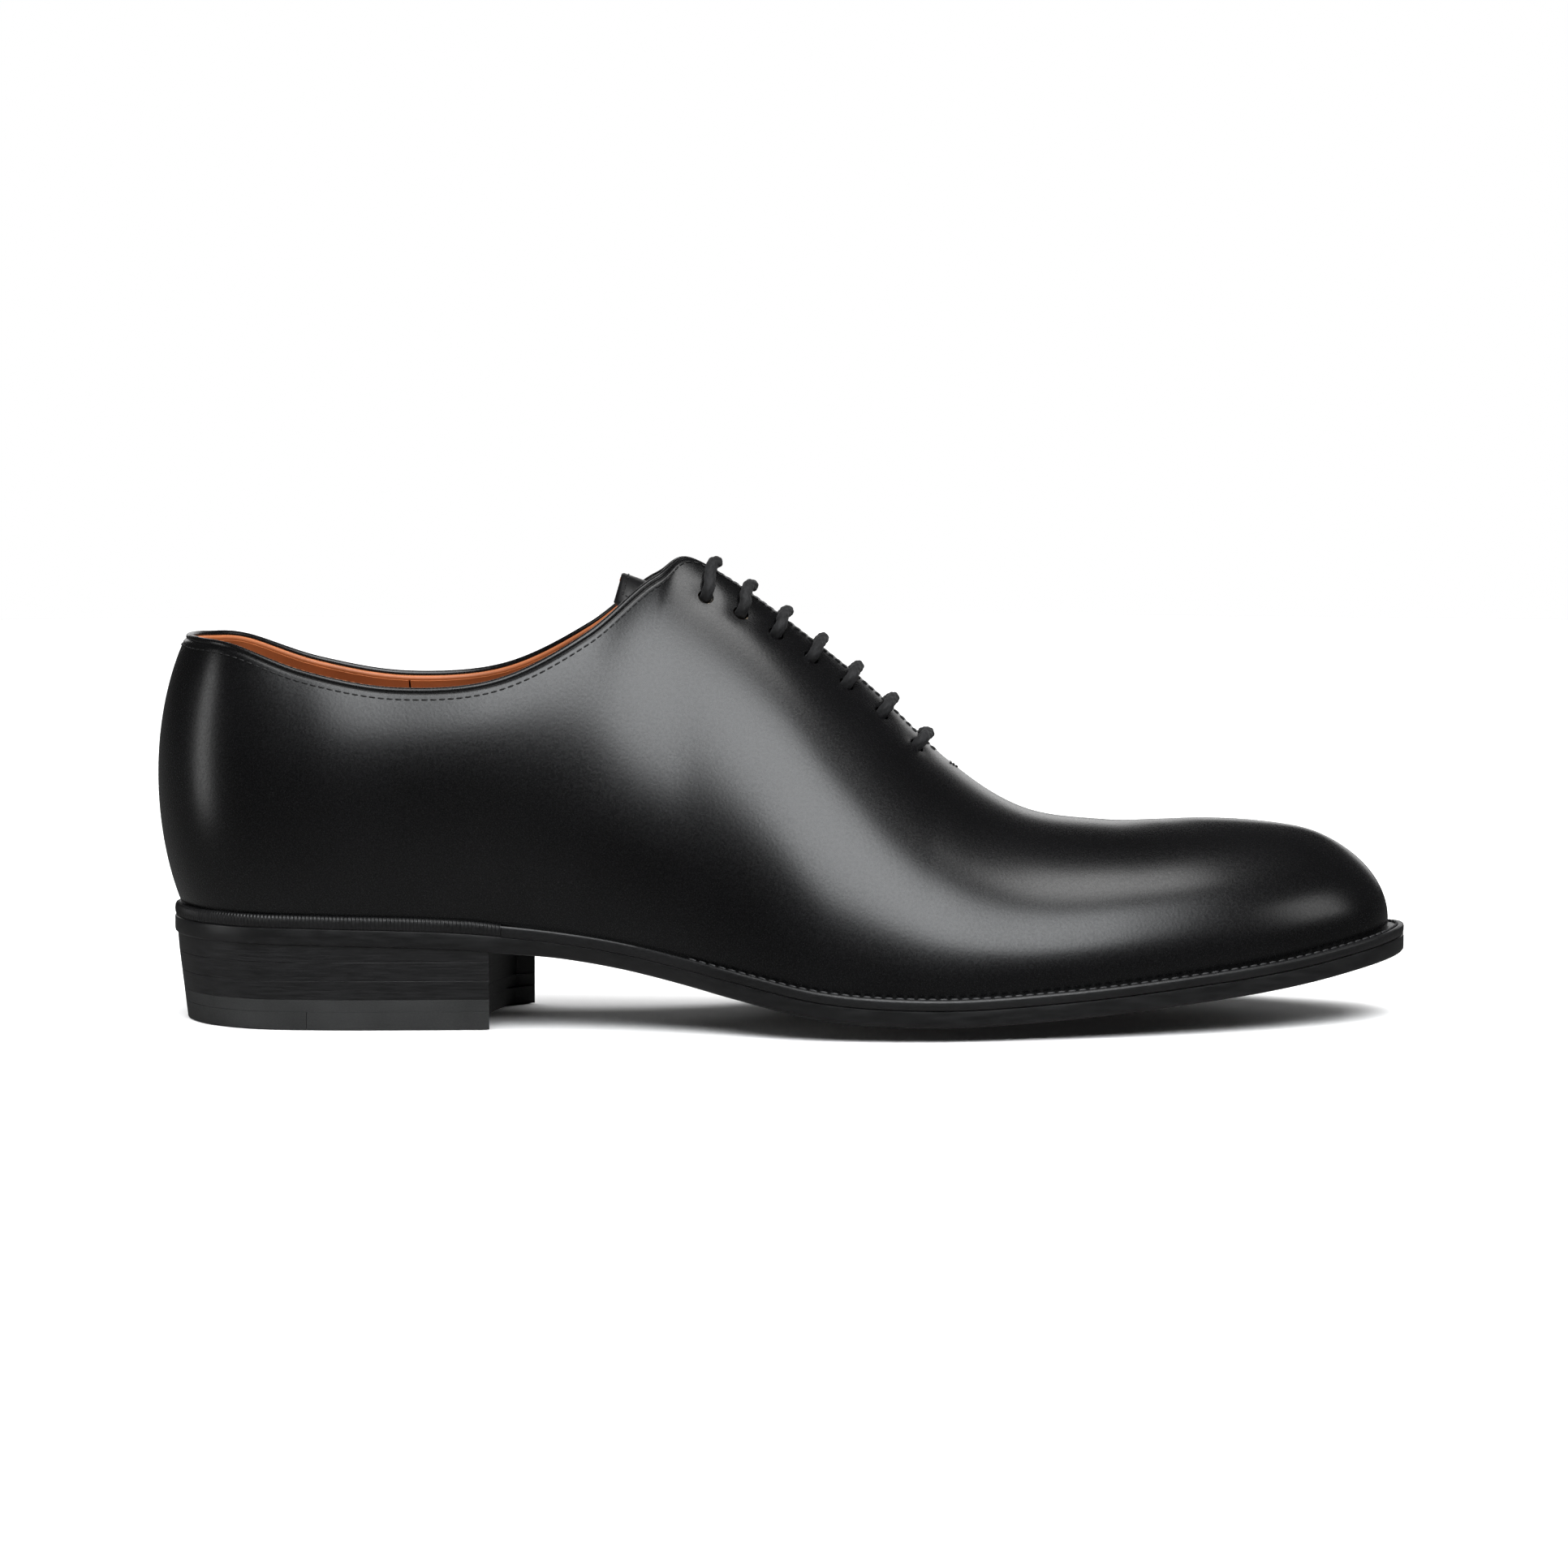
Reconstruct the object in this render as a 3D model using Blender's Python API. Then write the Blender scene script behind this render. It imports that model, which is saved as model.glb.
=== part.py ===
"""A black leather wholecut oxford, right shoe, built up layer by layer on its last.

Lengths are in millimetres from the heel's back (x), from the long middle line (y, the outer side
negative) and from the ground (z). They become metres when a mesh is made, and the origin moves to
the middle of the shoe's footprint.
"""
import math

import bmesh
import bpy
import numpy as np
from mathutils import Vector

for old in list(bpy.data.objects):
    bpy.data.objects.remove(old, do_unlink=True)

# ---------------------------------------------------------------- driving dimensions
MM = 0.001
LENGTH = 305.0
SIDE_SHIFT = 1.9            # moves the footprint's middle to y = 0
GAP = 0.3                   # clearance between pieces that touch

UPPER = 1.2                 # leather thicknesses
STIFFENER = 0.8
LINING = 0.8
UNDER_UPPER = UPPER + GAP
UNDER_STIFFENER = UNDER_UPPER + STIFFENER
LINING_FACE = UNDER_STIFFENER + GAP
INSIDE = LINING_FACE + LINING

OUTSOLE = 4.0
WELT = 2.4
RAND = 2.9
INSOLE = 3.0
MARGIN = 6.0                # upper leather turned in under the insole
INSOLE_INSET = 4.3          # insole's edge, inside the feather line
RIB = 2.0

SEAM = 0.05                 # share of a mesh column left open at a lining seam
BEAD = 0.75                 # radius of the rolled edge round the topline
BEAD_IN = 1.0               # its middle line, inside the upper's face
LACE = 1.3                  # radius of the lace
AGLET = 11.0                # length of the lace's tips
EYELETS = 7                 # pairs
FIRST_EYELET = 134.0        # x of the top pair of holes
EYELET_STEP = 8.55
BAR_LEAN = 1.8              # how much further forward a lace bar crosses the ridge
EYELET_OUT = 9.0            # sideways distance of a hole from the ridge
TAIL_OUT = 7.0              # how far beyond the holes the lace's ends lie
HOLE = 1.75
EYELET_SIDES = 8
BARREL = 2.3
FLANGE = 3.0
FLANGE_TOP = INSIDE - 0.45

TOP_PIECE = 4.0
TOP_PIECE_SPLIT = 38.0
SEAT_LIFT = 2.7
LIFT = 4.3
HEEL_TAPER = 0.12           # the heel's edge leans in by this much per millimetre down
BREAST_OUTER, BREAST_INNER, BREAST_HOLLOW = 82.0, 91.0, 6.0

NAIL = 0.7
NAIL_HOLE = 1.05
NAILS = ((22.0, 0.0), (34.0, -20.0), (34.0, 20.0), (62.0, -20.0), (62.0, 18.0))

# ---------------------------------------------------------------- stations round the last
# Seventeen stations run from the heel's back (0) to the toe (16). A station gives the sole's edge, the
# upper's top edge, the sole's width beyond the upper, and the two handles of the section between them.
# TOP_Y counts only up to the peak: past it the edge lies on the ridge, and 10 at station 9 just levels the
# curve where it meets the ridge.
PEAK, THROAT, TOE = 8, 10, 16
EDGE_X = [4, 10, 24, 42, 62, 84, 106, 126, 143, 163, 188, 212, 240, 266, 287, 300, 305]
EDGE_OUTER = [0, 18.5, 30, 33, 33, 32.2, 33.5, 38.5, 45.5, 52.2, 54, 50.5, 43.5, 34, 22, 10, -5]
EDGE_INNER = [0, 18.5, 30, 33, 31.2, 27, 24, 24.8, 28.5, 37.5, 46.8, 50.4, 48.3, 40.8, 30, 19.5, 5]
TOP_X = [7, 10.5, 20, 38, 60, 84, 106, 122.5, 134, 170, 193, 211, 230, 243, 252, 258, 262]
TOP_Y = [0, 12, 21, 26.5, 28.8, 28.6, 22.8, 10, 0, 10, 0, 0, 0, 0, 0, 0, 0]
TOP_Z = [94.5, 94.2, 93, 86.9, 83.2, 85.2, 96, 109, 110.5, 84.3, 62.6, 51, 47.9, 47.9, 48.3, 48.5, 48.7]
STAND_OUT = [1.5, 1.5, 1.5, 1.5, 1.5, 1.5, 1.3, 1.6, 2.6, 3.6, 4, 4, 4, 4, 4, 4, 4]
LOW_OUT_OUTER = [6.7, 6.7, 6, 5.5, 5, 5.5, 6, 5, 4, 2.5, 2.5, 3, 3, 3, 2.5, 1.5, 1.5]
LOW_OUT_INNER = [6.7, 6.7, 6, 5.5, 6, 9, 12, 12, 10, 6, 3, 3, 3, 3, 2.5, 1.5, 1.5]
LOW_UP = [17, 17, 18, 18, 18, 19, 22, 26, 28, 28, 20, 16, 14.5, 14, 14, 14, 14.4]
HIGH_OUT = [9.5, 9.5, 9, 9, 8, 8, 11, 17, 20, 24, 27, 27, 26, 25, 24, 23, 23]
HIGH_DOWN = [20.5, 20.5, 20, 18, 17, 19, 25, 24, 9, 3, 1, 0.3, 0, 0, 0, 0, -0.2]
TOE_LEAN = 3.5              # the ridge leans to the inner side by this much at the toe

# The sole's lower edge seen from the side, and how much rounder the sole is across the ball.
SOLE_X = [4, 40, 81, 112, 140, 160, 187, 220, 250, 278, 305]
SOLE_Z = [21.0, 20.6, 19.0, 15.2, 9.3, 5.2, 3.4, 4.7, 7.4, 10.7, 15.7]
CROSS_ROUND = 800.0

# Where the leather's mesh has its columns, in stations, and its rows, from feather line to top edge.
MESH_STATIONS = [0, 0.7, 1.4, 2.2, 3, 4, 5, 6, 6.7, 7.15, 7.45, 7.75, 8, 8.35, 8.7, 9.35, 10, 10.7, 11.5, 12.4,
                 13.3, 14.2, 15.1, 16]
ROWS = [0.0, 0.08, 0.22, 0.38, 0.53, 0.66, 0.75, 0.83, 0.89, 0.945, 1.0]
COLUMNS = len(MESH_STATIONS) - 1

shoe = bpy.data.collections.new("wholecut_oxford")
cutters = bpy.data.collections.new("cutters")
bpy.context.scene.collection.children.link(shoe)
bpy.context.scene.collection.children.link(cutters)


# ---------------------------------------------------------------- materials
def finish(name, colour, roughness, metallic=0.0):
    material = bpy.data.materials.new(name)
    material.use_nodes = True
    shader = material.node_tree.nodes["Principled BSDF"]
    shader.inputs["Base Color"].default_value = (*colour, 1.0)
    shader.inputs["Roughness"].default_value = roughness
    shader.inputs["Metallic"].default_value = metallic
    material.diffuse_color = (*colour, 1.0)
    return material


def black_calf():
    return finish("black_calf", (0.012, 0.012, 0.013), 0.28)


def tan_lining():
    return finish("tan_lining", (0.33, 0.11, 0.035), 0.55)


def sole_leather():
    return finish("dyed_sole_leather", (0.016, 0.015, 0.015), 0.4)


def heel_leather():
    return finish("stacked_leather", (0.02, 0.019, 0.018), 0.5)


def bare_leather():
    return finish("undyed_leather", (0.45, 0.27, 0.14), 0.65)


def heel_rubber():
    return finish("black_rubber", (0.02, 0.02, 0.021), 0.7)


def fibre_board():
    return finish("stiffener_board", (0.38, 0.29, 0.19), 0.8)


def cork():
    return finish("cork", (0.32, 0.19, 0.1), 0.9)


def spring_steel():
    return finish("spring_steel", (0.5, 0.5, 0.52), 0.35, 1.0)


def brass():
    return finish("brass", (0.6, 0.42, 0.17), 0.35, 1.0)


def lace_cotton():
    return finish("waxed_cotton", (0.02, 0.02, 0.022), 0.75)


# ---------------------------------------------------------------- curves through the stations
def through(values, at):
    """Catmull-Rom curve through evenly spaced values that close into a loop."""
    values = np.asarray(values, float)
    at = np.asarray(at, float)
    low = np.floor(at).astype(int)
    part = at - low
    p0, p1, p2, p3 = (values[(low + k) % len(values)] for k in (-1, 0, 1, 2))
    return p1 + 0.5 * part * (p2 - p0 + part * (2 * p0 - 5 * p1 + 4 * p2 - p3
                                                + part * (3 * (p1 - p2) + p3 - p0)))


def loop(outer, inner=None, mirrored=False):
    """Values of the outer side, then of the inner side back to the heel."""
    inner = outer if inner is None else inner
    sign = -1.0 if mirrored else 1.0
    return [sign * v for v in outer] + list(inner[-2:0:-1])


def smooth_step(x, start, end):
    part = np.clip((np.asarray(x, float) - start) / (end - start), 0, 1)
    return part * part * (3 - 2 * part)


def edge(at, inset=0.0):
    """The sole's edge in plan at loop position at, moved inwards by inset, and its outward normal."""
    xs, ys = loop(EDGE_X), loop(EDGE_OUTER, EDGE_INNER, mirrored=True)
    point = np.stack([through(xs, at), through(ys, at)], -1)
    ahead = np.stack([through(xs, at + 0.01), through(ys, at + 0.01)], -1)
    behind = np.stack([through(xs, at - 0.01), through(ys, at - 0.01)], -1)
    run = ahead - behind
    normal = np.stack([run[..., 1], -run[..., 0]], -1)
    normal /= np.linalg.norm(normal, axis=-1, keepdims=True)
    return point - normal * np.asarray(inset)[..., None], normal


def hermite(xs, zs, x):
    """A smooth line through the points of a side view."""
    xs, zs = np.asarray(xs, float), np.asarray(zs, float)
    slope = np.gradient(zs, xs)
    x = np.clip(np.asarray(x, float), xs[0], xs[-1])
    k = np.clip(np.searchsorted(xs, x) - 1, 0, len(xs) - 2)
    span = xs[k + 1] - xs[k]
    p = (x - xs[k]) / span
    return (zs[k] * (1 + 2 * p) * (1 - p) ** 2 + slope[k] * span * p * (1 - p) ** 2
            + zs[k + 1] * p * p * (3 - 2 * p) + slope[k + 1] * span * p * p * (p - 1))


def under_sole(x, y):
    """Height of the outsole's lower face: its edge line, less the roundness across the forepart."""
    fine = np.linspace(0, TOE, 161)
    outer, _ = edge(fine)
    inner, _ = edge(2 * TOE - fine)
    y_outer = np.interp(x, outer[:, 0], outer[:, 1])
    y_inner = np.interp(x, inner[:, 0], inner[:, 1])
    half, middle = (y_inner - y_outer) / 2, (y_inner + y_outer) / 2
    sag = np.maximum(half ** 2 - (y - middle) ** 2, 0) / CROSS_ROUND
    return hermite(SOLE_X, SOLE_Z, x) - sag * smooth_step(x, 90, 150)


def seat_height(x, y):
    """Top of the welt, or of the rand round the heel: where the upper sits."""
    edging = WELT + (RAND - WELT) * (1 - smooth_step(x, 76, 92))
    return under_sole(x, y) + OUTSOLE + GAP + edging


# ---------------------------------------------------------------- the last
def feather(at, extra=0.0):
    """The line round the last where the upper meets the welt."""
    plan, normal = edge(at, through(loop(STAND_OUT), at) + extra)
    height = seat_height(plan[..., 0], plan[..., 1]) + GAP
    return np.concatenate([plan, height[..., None]], -1), normal


def top_edge(at):
    """The topline round the foot opening, then the ridge from the instep to the toe."""
    at = np.asarray(at, float) % (2 * TOE)
    fold = np.minimum(at, 2 * TOE - at)
    side = np.where(at < TOE, -1.0, 1.0)
    x = through(loop(TOP_X), fold)
    z = through(loop(TOP_Z), fold)
    half = through(loop(TOP_Y), fold)
    half = np.where(fold >= PEAK, GAP, np.maximum(half, GAP))
    half = np.where(fold <= 1.5, through(loop(TOP_Y, TOP_Y, True), -fold), half)
    half = np.where(fold >= THROAT, 0.0, half)
    lean = TOE_LEAN * smooth_step(fold, THROAT + 1, TOE)
    lowered = (2 * BEAD + GAP) * (1 - smooth_step(fold, PEAK - 0.9, PEAK - 0.1))
    return np.stack([x, side * half + lean, z - lowered], -1)


def wall(at, rise):
    """The upper's outer face: a cubic section from the feather line (rise 0) to the top edge (rise 1)."""
    at = np.asarray(at, float)
    foot, outward = feather(at)
    head = top_edge(at)
    fold = np.minimum(at % (2 * TOE), 2 * TOE - at % (2 * TOE))
    outward = np.concatenate([outward, np.zeros(outward.shape[:-1] + (1,))], -1)
    across = (foot - head) * (1.0, 1.0, 0.0)
    reach = np.linalg.norm(across, axis=-1, keepdims=True)
    blend = smooth_step(fold, PEAK - 2, PEAK)[..., None]
    across = across / np.maximum(reach, 0.1) * blend + outward * (1 - blend)
    across /= np.linalg.norm(across, axis=-1, keepdims=True)
    up = np.array([0.0, 0.0, 1.0])
    low_out = through(loop(LOW_OUT_OUTER, LOW_OUT_INNER), at)[..., None]
    low_up = through(loop(LOW_UP), fold)[..., None]
    high_out = through(loop(HIGH_OUT), fold)[..., None]
    high_down = through(loop(HIGH_DOWN), fold)[..., None]
    low = foot + outward * low_out + up * low_up
    high = head + across * high_out - up * high_down
    r = np.asarray(rise, float)[..., None]
    return ((1 - r) ** 3 * foot + 3 * r * (1 - r) ** 2 * low
            + 3 * r * r * (1 - r) * high + r ** 3 * head)


def merge(points):
    """Number of each point, the same for points that coincide."""
    flat = np.round(points.reshape(-1, 3) * 200).astype(int)
    _, numbers = np.unique(flat, axis=0, return_inverse=True)
    return numbers.reshape(points.shape[:-1])


def grid_normals(points):
    """Outward normal at each point of a grid, averaged over the quads round it."""
    numbers = merge(points)
    a, b = points[1:, 1:] - points[:-1, :-1], points[:-1, 1:] - points[1:, :-1]
    face = np.cross(a, b)
    total = np.zeros((numbers.max() + 1, 3))
    for corner in (numbers[:-1, :-1], numbers[1:, :-1], numbers[:-1, 1:], numbers[1:, 1:]):
        np.add.at(total, corner.ravel(), face.reshape(-1, 3))
    total /= np.maximum(np.linalg.norm(total, axis=1, keepdims=True), 1e-9)
    return total[numbers]


# The whole wall once, with its first column repeated at the end: column 0 is the heel's back.
LOOP = np.array(MESH_STATIONS + [2 * TOE - s for s in reversed(MESH_STATIONS[:-1])], float)
WALL = wall(LOOP[:, None], np.array(ROWS)[None, :])
WALL_NORMAL = grid_normals(WALL)


def clear_of_slit(points, columns, past_throat=-0.1):
    """Keep the facings' edges on their own side of the slit between them."""
    at = LOOP[np.asarray(columns) % (2 * COLUMNS)]
    fold = np.minimum(at, 2 * TOE - at)
    side = np.where(at < TOE, -1.0, 1.0)
    in_slit = (fold > PEAK - 1.5) & (fold < THROAT + past_throat)
    kept = side[:, None] * np.maximum(side[:, None] * points[..., 1], GAP + 0.05)
    points[..., 1] = np.where(in_slit[:, None], kept, points[..., 1])
    return points


def column(station, inner=False):
    """Number of the wall's column at a station of the outer or of the inner side."""
    number = int(np.argmin(np.abs(np.array(MESH_STATIONS) - station)))
    return 2 * COLUMNS - number if inner else number


# ---------------------------------------------------------------- making meshes
def add_object(name, mesh, material, collection=None):
    mesh.materials.clear()
    mesh.materials.append(material)
    item = bpy.data.objects.new(name, mesh)
    (collection or shoe).objects.link(item)
    return item


def place(points):
    """Millimetres on the last to metres about the middle of the footprint."""
    return (np.asarray(points, float) + (-LENGTH / 2, SIDE_SHIFT, 0.0)) * MM


def finished_mesh(name, points, faces, material):
    """An object from points on the last, with its faces turned outwards."""
    mesh = bpy.data.meshes.new(name)
    mesh.from_pydata(place(points).tolist(), [], faces)
    cage = bmesh.new()
    cage.from_mesh(mesh)
    bmesh.ops.triangulate(cage, faces=[face for face in cage.faces if len(face.verts) > 4])
    bmesh.ops.recalc_face_normals(cage, faces=cage.faces)
    if cage.calc_volume(signed=True) < 0:
        bmesh.ops.reverse_faces(cage, faces=cage.faces)
    cage.to_mesh(mesh)
    cage.free()
    mesh.shade_smooth()
    mesh.set_sharp_from_angle(angle=math.radians(40))
    return add_object(name, mesh, material)


def closed_shell(name, outer, inner, material):
    """One closed body between two like grids: both faces, and a wall along every open edge."""
    numbers = merge(outer)
    count = numbers.max() + 1
    points = []
    for grid in (outer, inner):
        total, hits = np.zeros((count, 3)), np.zeros((count, 1))
        np.add.at(total, numbers.ravel(), grid.reshape(-1, 3))
        np.add.at(hits, numbers.ravel(), 1.0)
        points.append(total / hits)
    quads = np.stack([numbers[:-1, :-1], numbers[1:, :-1], numbers[1:, 1:], numbers[:-1, 1:]], -1)
    faces, once = [], {}
    for quad in quads.reshape(-1, 4).tolist():
        ring = [v for k, v in enumerate(quad) if v != quad[k - 1]]
        if len(set(ring)) < 3:
            continue
        halves = [ring] if len(ring) == 3 else [ring[:3], [ring[0], ring[2], ring[3]]]
        for half in halves:
            faces.append(half)
            faces.append([v + count for v in reversed(half)])
        for k, v in enumerate(ring):
            key = (ring[k - 1], v)
            if key[::-1] in once:
                del once[key[::-1]]
            else:
                once[key] = True
    faces += [[b, a, a + count, b + count] for a, b in once]
    return finished_mesh(name, np.concatenate(points), faces, material)


def leather_layer(name, columns, rows, depths, material):
    """A sheet of leather on the last, between two depths under the upper's outer face."""
    columns = np.array(columns) % (2 * COLUMNS)
    rows = np.arange(rows[0], rows[1] + 1)
    points = WALL[np.ix_(columns, rows)]
    normals = WALL_NORMAL[np.ix_(columns, rows)]
    faces = [clear_of_slit(points - normals * depth, columns, 0.1) for depth in depths]
    return closed_shell(name, faces[0], faces[1], material)


def rib_of(columns, insets, heights, name, material):
    """A flat strip along the sole's edge, between two insets from it and two heights."""
    at = LOOP[np.array(columns) % (2 * COLUMNS)]
    stand_out = through(loop(STAND_OUT), at)
    layers = []
    for height in heights:
        rails = []
        for inset, from_feather in insets:
            plan, _ = edge(at, inset + (stand_out if from_feather else 0.0))
            level = height(plan[:, 0], plan[:, 1])
            rails.append(np.concatenate([plan, level[:, None]], 1))
        layers.append(np.stack(rails, 1))
    return closed_shell(name, layers[1], layers[0], material)


def plate(name, first, last, inset, heights, material, cells=6, from_feather=True):
    """A sheet that spans the sole from edge to edge, between two heights above the ground."""
    at = LOOP[first:last + 1]
    extra = through(loop(STAND_OUT), at) if from_feather else 0.0
    outer, _ = edge(at, inset + extra)
    inner, _ = edge(2 * TOE - at, inset + extra)
    across = np.linspace(0, 1, cells + 1)[None, :, None]
    plan = outer[:, None] * (1 - across) + inner[:, None] * across
    faces = [np.concatenate([plan, height(plan[..., 0], plan[..., 1])[..., None]], -1) for height in heights]
    return closed_shell(name, faces[1], faces[0], material)


def cylinder(name, foot, head, radius, sides, material, collection=None):
    """A round bar from foot to head, in millimetres on the last."""
    foot, head = (Vector(place(p)) for p in (foot, head))
    mesh = bpy.data.meshes.new(name)
    cage = bmesh.new()
    bmesh.ops.create_cone(cage, cap_ends=True, segments=sides, radius1=radius * MM,
                          radius2=radius * MM, depth=(head - foot).length)
    cage.to_mesh(mesh)
    cage.free()
    item = add_object(name, mesh, material, collection)
    item.rotation_mode = "QUATERNION"
    item.rotation_quaternion = Vector((0, 0, 1)).rotation_difference(head - foot)
    item.location = (foot + head) / 2
    return item


def cut(item, tools, solver="EXACT"):
    """Take the tools away from a piece, all in one step."""
    group = bpy.data.collections.new(f"cuts_{item.name}")
    cutters.children.link(group)
    for tool in tools:
        group.objects.link(tool)
    step = item.modifiers.new("bores", "BOOLEAN")
    step.operation, step.solver = "DIFFERENCE", solver
    step.operand_type, step.collection = "COLLECTION", group


def hide_cutter(tool):
    tool.hide_render = True
    tool.display_type = "WIRE"
    return tool


def tube(name, points, radius, material):
    """A round cord along a list of points."""
    curve = bpy.data.curves.new(name, "CURVE")
    curve.dimensions = "3D"
    curve.bevel_depth = radius * MM
    curve.bevel_resolution = 2
    curve.use_fill_caps = True
    spline = curve.splines.new("POLY")
    spline.points.add(len(points) - 1)
    for spot, point in zip(spline.points, place(points)):
        spot.co = (*point, 1.0)
    curve.materials.append(material)
    item = bpy.data.objects.new(name, curve)
    shoe.objects.link(item)
    return item


# ---------------------------------------------------------------- upper, stiffeners and linings
def make_upper():
    """One piece of calf: the wall, and the margin that turns in under the insole."""
    whole = np.arange(2 * COLUMNS + 1)
    foot, outward = feather(LOOP)
    margin, _ = feather(LOOP, MARGIN)
    flat = np.concatenate([outward, -np.ones((len(LOOP), 1))], 1)
    down = np.tile((0.0, 0.0, -1.0), (len(LOOP), 1))
    points = np.concatenate([margin[:, None], WALL[whole]], 1)
    normals = np.concatenate([down[:, None], flat[:, None], WALL_NORMAL[whole][:, 1:]], 1)
    under = points - normals * UPPER
    under[:, 1:] = clear_of_slit(under[:, 1:], whole)
    return closed_shell("upper_wholecut", points, under, black_calf())


def make_stiffeners():
    depths = (UNDER_UPPER, UNDER_STIFFENER)
    leather_layer("heel_counter", range(column(5, True), column(5) + 2 * COLUMNS + 1), (1, 5), depths,
                  fibre_board())
    leather_layer("toe_puff", range(column(13), column(13, True) + 1), (1, 6), depths, fibre_board())
    top = len(ROWS) - 1
    outer = leather_layer("facing_stay_outer", range(column(PEAK) - 1, column(THROAT) + 1), (6, top), depths,
                          fibre_board())
    inner = leather_layer("facing_stay_inner", range(column(THROAT, True), column(PEAK, True) + 2),
                          (6, top), depths, fibre_board())
    return outer, inner


def make_linings():
    depths = (LINING_FACE, INSIDE)
    top = len(ROWS) - 1
    heel_end, vamp_start = 4, 12
    parts = {}
    ranges = {
        "heel_lining": (column(heel_end, True), column(heel_end) + 2 * COLUMNS),
        "quarter_lining_outer": (column(heel_end), column(vamp_start)),
        "vamp_lining": (column(vamp_start), column(vamp_start, True)),
        "quarter_lining_inner": (column(vamp_start, True), column(heel_end, True)),
    }
    for name, (start, end) in ranges.items():
        columns = np.arange(start, end + 1) % (2 * COLUMNS)
        rows = np.arange(1, top + 1)
        points = WALL[np.ix_(columns, rows)]
        normals = WALL_NORMAL[np.ix_(columns, rows)]
        faces = [clear_of_slit(points - normals * depth, columns) for depth in depths]
        for face in faces:
            face[0] += (face[1] - face[0]) * SEAM
            face[-1] += (face[-2] - face[-1]) * SEAM
            if name.startswith("quarter"):
                ridge = face[:, -1]
                welded = np.minimum(columns, 2 * COLUMNS - columns) >= column(THROAT)
                sideways = -(GAP + 0.05) if name.endswith("outer") else GAP + 0.05
                ridge[welded, 1] += sideways
        parts[name] = closed_shell(name, faces[0], faces[1], tan_lining())
    return parts


def make_bead():
    """The rolled edge that covers the leathers' cut edges round the foot opening."""
    ends = column(PEAK) - 1
    columns = np.arange(-ends, ends + 1)
    line, normal = WALL[columns, -1], WALL_NORMAL[columns, -1]
    run = np.gradient(line, axis=0)
    rise = np.cross(run, normal)
    rise /= np.linalg.norm(rise, axis=1, keepdims=True)
    rise *= np.sign(rise[:, 2:3])
    line = line + rise * (BEAD + GAP + 0.1) - normal * BEAD_IN
    return tube("topline_binding", line, BEAD, black_calf())


# ---------------------------------------------------------------- eyelets and lace
def surface_frame(at, rise):
    """A point of the upper's outer face as it is meshed, its normal and the direction up to the ridge."""
    c = float(np.interp(at, LOOP, range(len(LOOP))))
    r = float(np.interp(rise, ROWS, range(len(ROWS))))
    c0, r0 = int(c), min(int(r), len(ROWS) - 2)
    u, v = c - c0, r - r0

    def blend(grid):
        low = grid[c0, r0] * (1 - u) + grid[c0 + 1, r0] * u
        high = grid[c0, r0 + 1] * (1 - u) + grid[c0 + 1, r0 + 1] * u
        return low * (1 - v) + high * v, high - low

    point, up = blend(WALL)
    normal, _ = blend(WALL_NORMAL)
    return point, normal / np.linalg.norm(normal), up / np.linalg.norm(up)


def find(function, low, high, wanted):
    """The place between low and high where a rising function takes the wanted value."""
    for _ in range(40):
        middle = (low + high) / 2
        if function(middle) < wanted:
            low = middle
        else:
            high = middle
    return (low + high) / 2


def hole_place(pair, side, out=EYELET_OUT):
    """Loop position and rise of a hole of a pair, on side -1 (outer) or 1 (inner)."""

    def spot(fold):
        at = fold if side < 0 else 2 * TOE - fold
        return at, find(lambda r: -abs(float(surface_frame(at, r)[0][1])), 0.5, 1.0, -out)

    x = FIRST_EYELET + EYELET_STEP * pair
    return spot(find(lambda f: float(surface_frame(*spot(f))[0][0]), PEAK - 1, THROAT, x))


def crossing(pair, side=-1):
    """Loop position where a pair's lace bar crosses the ridge."""
    x = FIRST_EYELET + EYELET_STEP * pair + BAR_LEAN
    fold = find(lambda f: float(top_edge(f)[0]), PEAK, THROAT, x)
    return fold if side < 0 else 2 * TOE - fold


def make_eyelets(upper, stays, linings):
    upper_tools, stay_tools, lining_tools = {-1: [], 1: []}, {-1: [], 1: []}, {-1: [], 1: []}
    for side, word in ((-1, "outer"), (1, "inner")):
        for pair in range(EYELETS):
            point, normal, _ = surface_frame(*hole_place(pair, side))
            name = f"eyelet_{word}_{pair + 1}"
            above, below = point + normal * 2, point - normal * (INSIDE + 2)
            for tools, radius in ((upper_tools, HOLE), (stay_tools, BARREL + GAP), (lining_tools, FLANGE + GAP)):
                bore = cylinder(f"{name}_bore_{radius:.1f}", below, above, radius, EYELET_SIDES, brass(), cutters)
                tools[side].append(hide_cutter(bore))
            make_eyelet(name, point, normal)
    cut(upper, upper_tools[-1] + upper_tools[1])
    cut(stays[0], stay_tools[-1])
    cut(stays[1], stay_tools[1])
    cut(linings["quarter_lining_outer"], lining_tools[-1], "MANIFOLD")
    cut(linings["quarter_lining_inner"], lining_tools[1], "MANIFOLD")


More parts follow.
